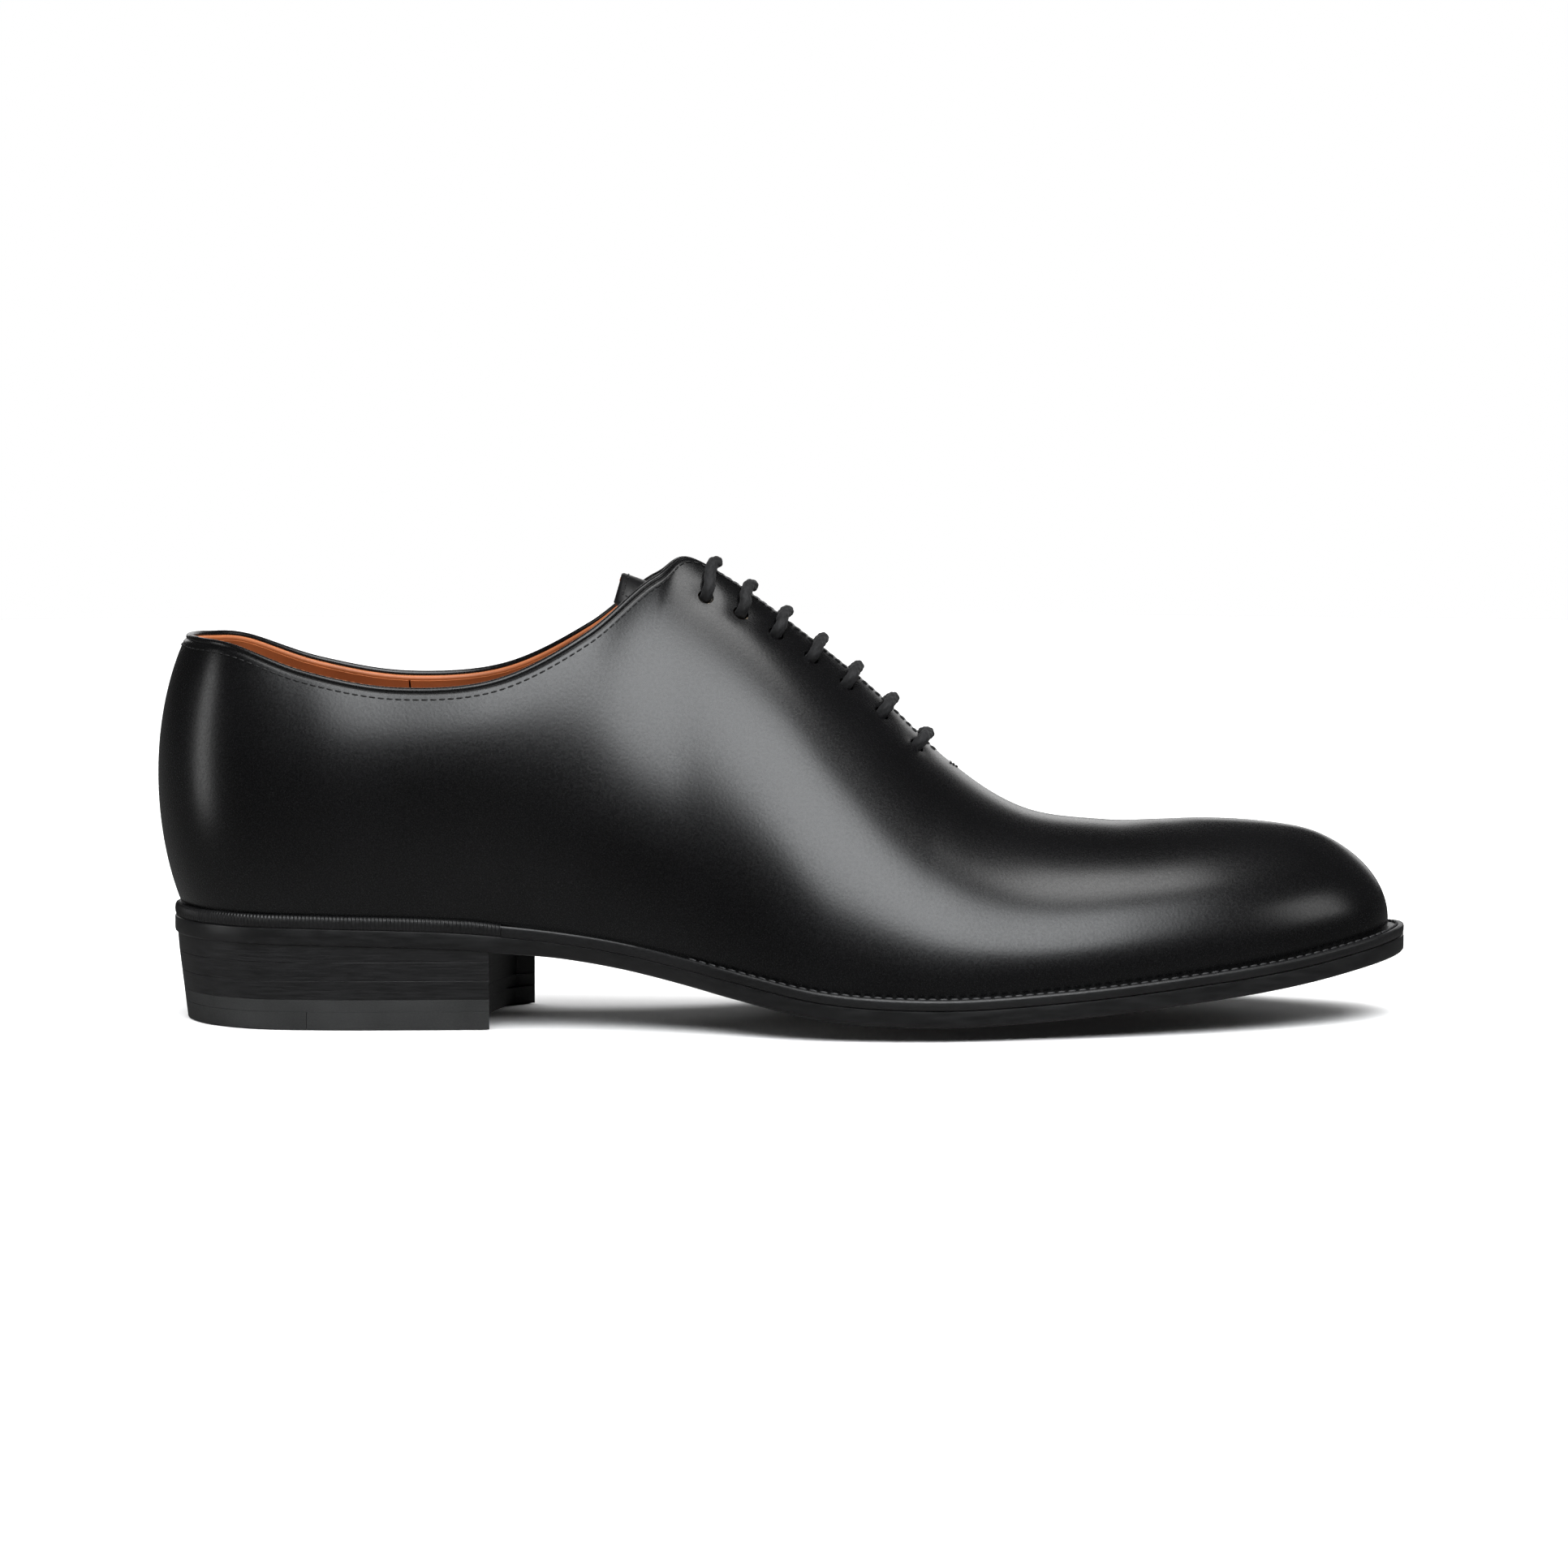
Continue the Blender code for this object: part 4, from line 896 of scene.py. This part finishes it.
def make_tongue():
    """Tongue and lining: two thin sheets with rounded rims, and a row of stitches inside the edge."""
    along, spread = np.linspace(0, 1, 90)[:, None], np.linspace(-1, 1, 50)[None, :]
    face = tongue_face(along, spread)
    normals = grid_normals(face)
    normals *= np.sign(normals[..., 2:3])
    rim = np.minimum(np.minimum(along, 1 - along) * 90, (1 - np.abs(spread)) * 25)
    soft = 0.3 * np.clip(1 - rim, 0, 1)[..., None]
    low = TONGUE_THICK + 0.05
    fit(shell("tongue_surface", face - normals * soft, face - normals * (TONGUE_THICK - soft), tongue_calf()),
        FLAP, ("tongue",))
    fit(shell("tongue_lining_surface", face - normals * low, face - normals * (low + 0.85), lining_calf()),
        FLAP, ("tongue_lining",))
    inset = 0.78
    turn = np.concatenate([np.linspace(0.75, 0.04, 60), np.full(40, 0.04), np.linspace(0.04, 0.75, 60)])
    across = np.concatenate([np.full(60, -inset), np.linspace(-inset, inset, 40), np.full(60, inset)])
    path = tongue_face(turn, across)
    out = unit(np.stack([0.6 + 0 * turn, across * 0.5, 0 * turn + 0.8], -1))
    fit(stitches("tongue_stitches", path, out, 1.6, 0.2, thread("black_thread", (0.003, 0.003, 0.0032))),
        FLAP, ())


def along_surface(step, normal):
    """Unit direction of a step, flattened into the surface with this normal."""
    return unit(step - normal * float(np.dot(step, normal)))


def lace_route():
    """Straight bars over the facings, joined by short runs under them, from the lowest pair to the top."""
    radius = sizes().lace_radius / MM
    over, under, bend = radius + 0.05, INSIDE + 0.1 + radius, 1.9
    route = []

    def at_hole(pair, side, inward, towards):
        point, normal, _ = surface_frame(*hole_place(pair, side))
        aim, to_ridge = (along_surface(target - point, normal)
                         for target in (towards, surface_frame(crossing(pair, side), 1.0)[0]))
        point = point + to_ridge * 0.4
        turn = [point + normal * over + to_ridge * bend,
                point + normal * (over - 0.3 * bend) + to_ridge * 0.3 * bend,
                point + normal * (over - bend),
                point - normal * (under - bend),
                point - normal * (under - 0.3 * bend) + aim * 0.3 * bend,
                point - normal * under + aim * bend]
        return turn if inward else turn[::-1]

    def half_bar(pair, side):
        at, rise = hole_place(pair, side)
        spots = [surface_frame(at + (crossing(pair, side) - at) * part, rise + (1 - rise) * part)
                 for part in (0.4, 0.75)]
        return [point + normal * (over + 0.1) for point, normal, _ in spots]

    def tail(pairs, side):
        spots = [surface_frame(*hole_place(pair, side, EYELET_OUT + TAIL_OUT)) for pair in pairs]
        return [point - normal * (under + 0.5) for point, normal, _ in spots]

    side = -1
    start, _, _ = surface_frame(*hole_place(EYELETS - 1.6, side, EYELET_OUT + TAIL_OUT))
    route += tail((2.2, 3.2, 4.2, 5.2), side) + at_hole(EYELETS - 1, side, False, start)
    for pair in range(EYELETS - 1, -1, -1):
        ridge = top_edge(crossing(pair)) * (1.0, 0.0, 1.0)
        route += half_bar(pair, side)
        route += [ridge + ridge_normal(pair) * (over + 0.1)] + half_bar(pair, -side)[::-1]
        side = -side
        if pair:
            upper_hole, _, _ = surface_frame(*hole_place(pair - 1, side))
            this_hole, _, _ = surface_frame(*hole_place(pair, side))
            route += at_hole(pair, side, True, upper_hole) + at_hole(pair - 1, side, False, this_hole)
    end, _, _ = surface_frame(*hole_place(0.8, side, EYELET_OUT + TAIL_OUT))
    route += at_hole(0, side, True, end) + tail((1.2, 2.2, 3.2, 4.2), side)
    return np.array(route)


def smooth_path(points, per_span=14):
    """Catmull-Rom curve through the points."""
    ends = np.concatenate([points[:1] * 2 - points[1:2], points, points[-1:] * 2 - points[-2:-1]])
    t = np.linspace(0, 1, per_span, endpoint=False)[None, :, None]
    p0, p1, p2, p3 = (ends[k:len(ends) - 3 + k][:, None] for k in range(4))
    curve = p1 + 0.5 * t * (p2 - p0 + t * (2 * p0 - 5 * p1 + 4 * p2 - p3 + t * (3 * (p1 - p2) + p3 - p0)))
    return np.concatenate([curve.reshape(-1, 3), points[-1:]])


def carried_frame(path):
    """Cross directions along a bent path, each turned from the last by the least angle."""
    tangent = unit(np.gradient(path, axis=0))
    first = np.zeros_like(path)
    first[0] = unit(np.cross(tangent[0], (0.0, 0.3, 1.0)))
    for k in range(1, len(path)):
        first[k] = first[k - 1] - tangent[k] * np.dot(first[k - 1], tangent[k])
        first[k] /= np.linalg.norm(first[k])
    return tangent, first, np.cross(tangent, first)


def make_lace():
    """The lace: a tube whose radius swells where braided strands cross over, in two opposite spirals."""
    radius = sizes().lace_radius / MM
    path = resample(smooth_path(lace_route()), 0.26)
    along = np.arange(len(path))[:, None] * 0.26
    around = np.linspace(0, 2 * np.pi, 33)[None, :]
    turn, advance = 5 * around / 2, 2 * np.pi / 6.4 * along
    weave = np.abs(np.sin(turn + advance)) * np.abs(np.sin(turn - advance))
    swell = radius * (0.9 + 0.17 * np.sqrt(weave))
    item = tube("lace_cord", path, swell, lace_cotton(), around=32, frame_of=carried_frame(path))
    fit(item, BODY, ("lace",))


def make_stitching():
    """Rows of stitches beside the upper's edge, over the throat, and along the linings' seams."""
    black = thread("black_thread", (0.003, 0.003, 0.0032))
    pitch = sizes().stitch_pitch / MM
    at = np.linspace(-(THROAT - 0.12), THROAT - 0.12, 900)
    path, normals = below_edge(at, STITCH_IN)
    fit(stitches("edge_stitches", path, outwards(normals, path), pitch, 0.21, black), BODY, ())
    ends, normals = below_edge(np.array([-1, 1]) * (THROAT + 0.02), 2.1)
    normals *= np.sign(normals[:, 2:])
    bar = np.stack([np.concatenate([ends[0], normals[0]]),
                    np.concatenate([top_edge(THROAT + 0.12), (0.6, 0.0, 0.8)]),
                    np.concatenate([ends[1], normals[1]])])
    bar = np.stack([np.interp(np.linspace(0, 2, 30), (0, 1, 2), bar[:, k]) for k in range(6)], -1)
    fit(stitches("throat_stitches", bar[:, :3], bar[:, 3:], 1.1, 0.24, black), BODY, ())
    tan = thread("tan_thread", (0.3, 0.1, 0.035))
    at = np.linspace(-(PEAK - 0.5), PEAK - 0.5, 500)
    path, normals = below_edge(at, LINING_STITCH_IN)
    normals = outwards(normals, path)
    fit(stitches("lining_edge_stitches", path - normals * INSIDE, -normals, pitch, 0.2, tan), BODY, ())
    for word, sign in (("outer", 1), ("inner", -1)):
        rises = np.linspace(0.35, 0.97, 80)
        for number, shift in enumerate((-SEAM_HALF, SEAM_HALF), 1):
            at = np.full(len(rises), sign * (4 + shift))
            path = wall(at, rises)
            normals = np.cross(wall(at + 0.01, rises) - wall(at - 0.01, rises), np.gradient(path, axis=0))
            normals = outwards(unit(normals), path, (62.0, 0.0, 60.0))
            row = f"seam_stitches_{word}_{number}"
            fit(stitches(row, path - normals * INSIDE, -normals, pitch, 0.2, tan), BODY, ())


def make_welt():
    """Welt: a profile of (distance in from the sole's edge, share of the height) carried round the forepart.

    The profile has a softened outer edge and a shallow trough, in which the stitches lie.
    """
    at = np.concatenate([np.linspace(WELT_START, 10, 220), np.linspace(10, 22, 520)[1:],
                         np.linspace(22, 2 * TOE - WELT_START, 220)[1:]])
    stand = stand_out(at)
    rows = []
    profile = [(MARGIN + stand, 0.0), (MARGIN + stand, 1.0), (stand - 0.2, 1.0), (2.6, 1.0), (2.1, 0.93),
               (1.5, 0.93), (1.0, 1.0), (0.45, 0.97), (0.1, 0.85), (0.0, 0.7), (0.0, 0.35), (0.1, 0.12),
               (0.35, 0.02), (2.0, 0.0), (MARGIN + stand, 0.0)]
    narrow = np.clip(stand / 4.0, 0, 1)
    for inset, level in profile:
        inset = np.where(inset > stand, inset, inset * narrow)
        plan, _ = edge(at, inset)
        base = under_sole(plan[:, 0], plan[:, 1]) + OUTSOLE + 0.02
        rows.append(np.concatenate([plan, (base + level * (WELT + GAP))[:, None]], 1))
    fit(skin("welt_surface", capped(np.stack(rows, 1)), welt_leather(), 50.0), BODY, ("welt",))
    at = np.linspace(7.2, 24.8, 900)
    plan, _ = edge(at, np.minimum(1.8, stand_out(at) * 0.5))
    path = np.concatenate([plan, (seat_height(plan[:, 0], plan[:, 1]) - 0.1)[:, None]], 1)
    up = np.tile((0.0, 0.0, 1.0), (len(at), 1))
    waxed = thread("waxed_thread", (0.012, 0.012, 0.013))
    fit(stitches("welt_stitches", path, up, sizes().welt_pitch / MM, 0.34, waxed, share=0.78, sink=0.2), BODY,
        ())


def make_rand():
    """Rand round the heel: a profile of (distance in, share of the height, ribbed or not) carried round it.

    The ribs are a cosine wave along the edge, pressed into the outer face and the top edge.
    """
    pitch = sizes().rib_pitch / MM
    at = np.linspace(-RAND_END, RAND_END, 1500)
    plan, _ = edge(at)
    rib = 0.16 * (0.5 - 0.5 * np.cos(2 * np.pi * lengths_along(plan) / pitch))
    stand = stand_out(at)
    profile = [(MARGIN + stand, 0.0, 0), (MARGIN + stand, 1.0, 0), (stand - 0.2, 1.0, 0), (0.85, 1.0, 1),
               (0.35, 0.93, 1), (0.1, 0.78, 1), (0.0, 0.5, 1), (0.1, 0.2, 1), (0.4, 0.03, 0),
               (MARGIN + stand, 0.0, 0)]
    rows = []
    for inset, level, ribbed in profile:
        spot, _ = edge(at, inset + rib * ribbed)
        base = under_sole(spot[:, 0], spot[:, 1]) + OUTSOLE + 0.02
        top = seat_height(spot[:, 0], spot[:, 1]) - 0.02
        height = base + level * (top - base) - rib * ribbed * level * 0.6
        rows.append(np.concatenate([spot, height[:, None]], 1))
    fit(skin("heel_rand_surface", capped(np.stack(rows, 1)), welt_leather(), 50.0), BODY, ("heel_rand",))


def make_outsole():
    """Outsole: for each place on its edge, a line from the middle over the top, round the edge and under."""
    at = np.concatenate([np.linspace(0, 16, 261), np.linspace(16, 32, 261)[1:]])
    rim, _ = edge(at)
    mate, _ = edge(2 * TOE - at)
    middle = (rim + mate) / 2
    x = rim[:, 0]
    waist = smooth_step(x, 84, 100) * (1 - smooth_step(x, 128, 152))
    rows = []

    def row(share, inset, level):
        plan, _ = edge(at, inset)
        plan = middle + (plan - middle) * share
        low = under_sole(plan[:, 0], plan[:, 1])
        rows.append(np.concatenate([plan, (low + level * OUTSOLE)[:, None]], 1))

    for share in np.linspace(0, 1, 9)[:-1]:
        row(share, 0.3, 1.0)
    for inset, level in ((0.3, 1.0), (0.08, 0.96), (0.0, 0.85), (0.0, 0.5), (0.0, 0.2), (0.1, 0.07)):
        row(1.0, inset + waist * 3.2 * (1 - level) ** 1.3, level)
    for share in np.concatenate([[1.0], np.linspace(0.97, 0, 16)]):
        row(share, 0.4 + waist * 3.4, 0.0)
    fit(skin("outsole_surface", np.stack(rows, 1), sole_edge(), 35.0), BODY, ("outsole",))


def breast_x(y):
    """The heel's front face: hollow, and further forward on the inner side."""
    share = (np.asarray(y, float) + BREAST_HALF) / (2 * BREAST_HALF)
    return BREAST_OUTER + (BREAST_INNER - BREAST_OUTER) * share - BREAST_HOLLOW * (1 - (2 * share - 1) ** 2)


def heel_outline(lean, x_from, x_to):
    """The heel seen from above: round the back edge, then along the front line, as one ring."""
    def reach(side, x):
        return find(lambda station: float(edge(np.array(side * station), lean)[0][0]), 1, 8, x)

    outer, inner = reach(1, min(BREAST_OUTER, x_to)), reach(-1, min(BREAST_INNER, x_to))
    if x_from < 0:
        rim, _ = edge(np.linspace(-inner, outer, 170), lean)
    else:
        rim = np.concatenate([edge(np.linspace(-inner, -reach(-1, x_from), 60), lean)[0],
                              edge(np.linspace(reach(1, x_from), outer, 60), lean)[0]])
    if x_to < BREAST_OUTER:
        return rim
    y = np.linspace(rim[-1, 1], rim[0, 1], 50)[1:-1]
    return np.concatenate([rim, np.stack([breast_x(y), y], -1)])


def heel_layer(name, low, high, material, x_from=-1.0, x_to=200.0):
    """One layer of the heel: its outline drawn up from low to high, with softened upper and lower edges.

    A level of 0 or more counts up from the lower face, a level below 0 down from the upper one.
    """
    soft = HEEL_SOFT
    rings = []
    for level, inset, share in ((0, 0, 0.0), (0, soft, 0.6), (0, soft, 1.0), (soft * 0.4, soft * 0.3, 1.0),
                                (soft, 0, 1.0), (-soft, 0, 1.0), (-soft * 0.4, soft * 0.3, 1.0),
                                (-0.0001, soft, 1.0), (-0.0001, soft, 0.6), (-0.0001, 0, 0.0)):
        z = high if level < 0 else low
        flat = SEAT_LOW if callable(z) else z
        ring = heel_outline(HEEL_TAPER * (HEEL_TOP - flat - level) + inset, x_from, x_to)
        centre = ring.mean(0)
        ring = centre + (ring - centre) * share
        height = z(ring[:, 0], ring[:, 1]) if callable(z) else np.full(len(ring), z)
        rings.append(np.concatenate([ring, (height + level)[:, None]], 1))
    grid = np.stack(rings, 0)
    grid = np.concatenate([grid, grid[:, :1]], 1)
    fit(skin(f"{name}_surface", grid, material, 14.0), BODY, (name,))


def make_heel():
    """Rubber and leather top piece, thin leather layer, and three lifts with a fine line between each."""
    z = TOP_PIECE + GAP
    heel_layer("top_piece_rubber", 0.0, z - SEAM_LINE, rubber(), x_to=TOP_PIECE_SPLIT)
    heel_layer("top_piece_leather", 0.0, z - SEAM_LINE, rubber(),
               x_from=TOP_PIECE_SPLIT + 0.12)
    heel_layer("top_piece_base", z, z + SEAT_LIFT + GAP - SEAM_LINE, rubber())
    z += SEAT_LIFT + GAP
    for number in (1, 2):
        heel_layer(f"heel_lift_{number}", z, z + LIFT + GAP - SEAM_LINE, heel_edge())
        z += LIFT + GAP
    heel_layer("heel_lift_3", z, lambda x, y: under_sole(x, y) - SEAM_LINE, heel_edge())


def make_insides():
    """Heel pad, and finishes for the solids inside the shoe that keep their own shape."""
    at = np.linspace(0, 6, 90)
    inset = stand_out(at) + 5.1
    across = np.linspace(0, 1, 30)[None, :, None]
    plan = edge(at, inset)[0][:, None] * (1 - across) + edge(2 * TOE - at, inset)[0][:, None] * across
    floor = seat_height(plan[..., 0], plan[..., 1]) + UPPER + 3 * GAP + INSOLE
    faces = [np.concatenate([plan, (floor + lift)[..., None]], -1) for lift in (0.85, 0.0)]
    fit(shell("heel_pad_surface", faces[0], faces[1], lining_calf()), BODY, ("heel_pad",))
    brass = metal("blackened_brass", (0.03, 0.028, 0.025))
    finishes = {"insole": undyed(), "cork_filler": cork_crumb(), "insole_rib": board(),
                "heel_counter": board(), "toe_puff": board(), "facing_stay_outer": board(),
                "facing_stay_inner": board(), "shank": metal("spring_steel", (0.5, 0.5, 0.52))}
    for name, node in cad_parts.items():
        if name.startswith(("eyelet", "aglet", "heel_nail")):
            finishes[name] = brass
        if name in finishes:
            for holder in node.material_slots:
                holder.material = finishes[name]


# ---------------------------------------------------------------- stage
CAMERA_AT, LOOK_AT, LENS = (0.0004, -1.6, 0.203), (0.0004, 0.0, 0.0568), 151.2
SURROUND = (0.22, 0.04)                         # brightness in reflections, below and above
FLOOR_RADIUS = 1.5
SHOE_MIDDLE = (0.0, 0.0, 0.05)


def aim(item, target):
    item.rotation_euler = (Vector(target) - item.location).to_track_quat("-Z", "Y").to_euler()


def soft_light(name, place, size, power, colour=(1.0, 1.0, 1.0), target=SHOE_MIDDLE):
    light = bpy.data.lights.new(name, "AREA")
    light.shape, light.size, light.size_y = "RECTANGLE", size[0], size[1]
    light.energy, light.color = power, colour
    item = bpy.data.objects.new(name, light)
    item.location = place
    bpy.context.scene.collection.objects.link(item)
    aim(item, target)
    return item


def make_floor():
    """A round pale floor, left out of reflections so the polished leather mirrors only the soft boxes."""
    radius, turn = np.linspace(0, FLOOR_RADIUS, 24), np.linspace(0, 2 * np.pi, 97)
    grid = np.stack(np.broadcast_arrays(radius[:, None] * np.cos(turn), radius[:, None] * np.sin(turn),
                                        -0.0002 + 0 * turn), -1)
    spots, quads, triangles = welded(grid / MM)
    mesh = bpy.data.meshes.new("floor")
    mesh.from_pydata((spots * MM).tolist(), [], quads.tolist() + triangles.tolist())
    floor = bpy.data.objects.new("floor", mesh)
    bpy.context.scene.collection.objects.link(floor)
    material, _, shader = shaded("pale_floor", Roughness=0.8)
    shader.inputs["Base Color"].default_value = (0.86, 0.86, 0.86, 1.0)
    mesh.materials.append(material)
    floor.visible_glossy = False


def make_world():
    """Studio surround: white behind the shoe, dim where the leather mirrors it, lighter from below."""
    world = bpy.data.worlds.new("studio")
    bpy.context.scene.world = world
    world.use_nodes = True
    tree = world.node_tree
    place = add_node(tree, "ShaderNodeTexCoord").outputs["Generated"]
    split = add_node(tree, "ShaderNodeSeparateXYZ")
    tree.links.new(place, split.inputs[0])
    dim = add_node(tree, "ShaderNodeMapRange")
    for label, value in zip(("From Min", "From Max", "To Min", "To Max"), (-0.5, 0.1, *SURROUND)):
        dim.inputs[label].default_value = value
    tree.links.new(split.outputs["Z"], dim.inputs["Value"])
    direct = add_node(tree, "ShaderNodeLightPath").outputs["Is Camera Ray"]
    tree.links.new(maths(tree, "MAXIMUM", direct, dim.outputs["Result"]),
                   tree.nodes["Background"].inputs["Strength"])
    tree.nodes["Background"].inputs["Color"].default_value = (1.0, 1.0, 1.0, 1.0)


def make_stage():
    """Camera, pale floor, soft boxes and surround."""
    camera = bpy.data.cameras.new("camera")
    camera.lens, camera.sensor_width = LENS, 36.0
    camera.dof.use_dof = False
    holder = bpy.data.objects.new("camera", camera)
    holder.location = CAMERA_AT
    bpy.context.scene.collection.objects.link(holder)
    aim(holder, LOOK_AT)
    bpy.context.scene.camera = holder
    make_floor()
    make_world()
    soft_light("front_box", (0.2, -0.93, 1.02), (1.0, 0.8), 18.0, (0.96, 0.98, 1.0))
    soft_light("top_box", (0.12, -0.2, 1.15), (0.8, 0.4), 5.5)
    soft_light("left_box", (-1.5, -0.3, 0.35), (0.35, 0.9), 2.6)
    soft_light("right_box", (1.3, -0.35, 0.7), (0.4, 0.5), 1.6)
    for light in (soft_light("back_box", (0.1, 1.9, 0.55), (2.2, 0.6), 6.0),
                  soft_light("floor_wash", (0.0, 0.0, 3.0), (6.0, 6.0), 335.0, target=(0.0, 0.001, 0.0))):
        light.visible_camera = False
        light.visible_glossy = light.name == "back_box"
    bpy.context.scene.view_settings.view_transform = "Standard"


# ---------------------------------------------------------------- operators, panel and registration
class SHOE_OT_stage(bpy.types.Operator):
    """Set up the camera, floor and lights"""
    bl_idname, bl_label = "shoe.stage", "Stage"

    def execute(self, context):
        make_stage()
        return {"FINISHED"}


class SHOE_OT_upper(bpy.types.Operator):
    """Build the one-piece calf upper with its lace holes"""
    bl_idname, bl_label = "shoe.upper", "Upper"

    def execute(self, context):
        make_upper()
        return {"FINISHED"}


class SHOE_OT_linings(bpy.types.Operator):
    """Build the heel, quarter and vamp linings"""
    bl_idname, bl_label = "shoe.linings", "Linings"

    def execute(self, context):
        make_linings()
        return {"FINISHED"}


class SHOE_OT_topline(bpy.types.Operator):
    """Build the rolled edge round the foot opening"""
    bl_idname, bl_label = "shoe.topline", "Topline"

    def execute(self, context):
        make_topline()
        return {"FINISHED"}


class SHOE_OT_tongue(bpy.types.Operator):
    """Build the tongue, its lining and stitches"""
    bl_idname, bl_label = "shoe.tongue", "Tongue"

    def execute(self, context):
        make_tongue()
        return {"FINISHED"}


class SHOE_OT_lace(bpy.types.Operator):
    """Build the round braided lace in its straight bars"""
    bl_idname, bl_label = "shoe.lace", "Lace"

    def execute(self, context):
        make_lace()
        return {"FINISHED"}


class SHOE_OT_stitching(bpy.types.Operator):
    """Build the stitches of the upper and the linings"""
    bl_idname, bl_label = "shoe.stitching", "Stitching"

    def execute(self, context):
        make_stitching()
        return {"FINISHED"}


class SHOE_OT_welt(bpy.types.Operator):
    """Build the welt and its stitches"""
    bl_idname, bl_label = "shoe.welt", "Welt"

    def execute(self, context):
        make_welt()
        return {"FINISHED"}


class SHOE_OT_rand(bpy.types.Operator):
    """Build the ribbed strip round the heel"""
    bl_idname, bl_label = "shoe.rand", "Heel rand"

    def execute(self, context):
        make_rand()
        return {"FINISHED"}


class SHOE_OT_outsole(bpy.types.Operator):
    """Build the leather outsole"""
    bl_idname, bl_label = "shoe.outsole", "Outsole"

    def execute(self, context):
        make_outsole()
        return {"FINISHED"}


class SHOE_OT_heel(bpy.types.Operator):
    """Build the top piece and the stacked lifts"""
    bl_idname, bl_label = "shoe.heel", "Heel"

    def execute(self, context):
        make_heel()
        return {"FINISHED"}


class SHOE_OT_insides(bpy.types.Operator):
    """Build the heel pad and finish the hidden pieces"""
    bl_idname, bl_label = "shoe.insides", "Insides"

    def execute(self, context):
        make_insides()
        return {"FINISHED"}


STEPS = [SHOE_OT_stage, SHOE_OT_upper, SHOE_OT_linings, SHOE_OT_topline, SHOE_OT_tongue, SHOE_OT_lace,
         SHOE_OT_stitching, SHOE_OT_welt, SHOE_OT_rand, SHOE_OT_outsole, SHOE_OT_heel, SHOE_OT_insides]


class SHOE_PT_panel(bpy.types.Panel):
    """Sizes, colours and the building steps."""
    bl_idname, bl_label = "SHOE_PT_panel", "Wholecut oxford"
    bl_space_type, bl_region_type, bl_category = "VIEW_3D", "UI", "Shoe"

    def draw(self, context):
        for group in (context.scene.shoe_sizes, context.scene.shoe_colours):
            for label in group.__annotations__:
                self.layout.prop(group, label)
        for step in STEPS:
            self.layout.operator(step.bl_idname)


CLASSES = [ShoeSizes, ShoeColours, *STEPS, SHOE_PT_panel]


def register():
    for item in CLASSES:
        bpy.utils.register_class(item)
    bpy.types.Scene.shoe_sizes = bpy.props.PointerProperty(type=ShoeSizes)
    bpy.types.Scene.shoe_colours = bpy.props.PointerProperty(type=ShoeColours)


def unregister():
    del bpy.types.Scene.shoe_sizes, bpy.types.Scene.shoe_colours
    for item in reversed(CLASSES):
        bpy.utils.unregister_class(item)


def main():
    register()
    bpy.ops.shoe.stage()
    bpy.ops.shoe.upper()
    bpy.ops.shoe.linings()
    bpy.ops.shoe.topline()
    bpy.ops.shoe.tongue()
    bpy.ops.shoe.lace()
    bpy.ops.shoe.stitching()
    bpy.ops.shoe.welt()
    bpy.ops.shoe.rand()
    bpy.ops.shoe.outsole()
    bpy.ops.shoe.heel()
    bpy.ops.shoe.insides()


if __name__ == "__main__":
    main()
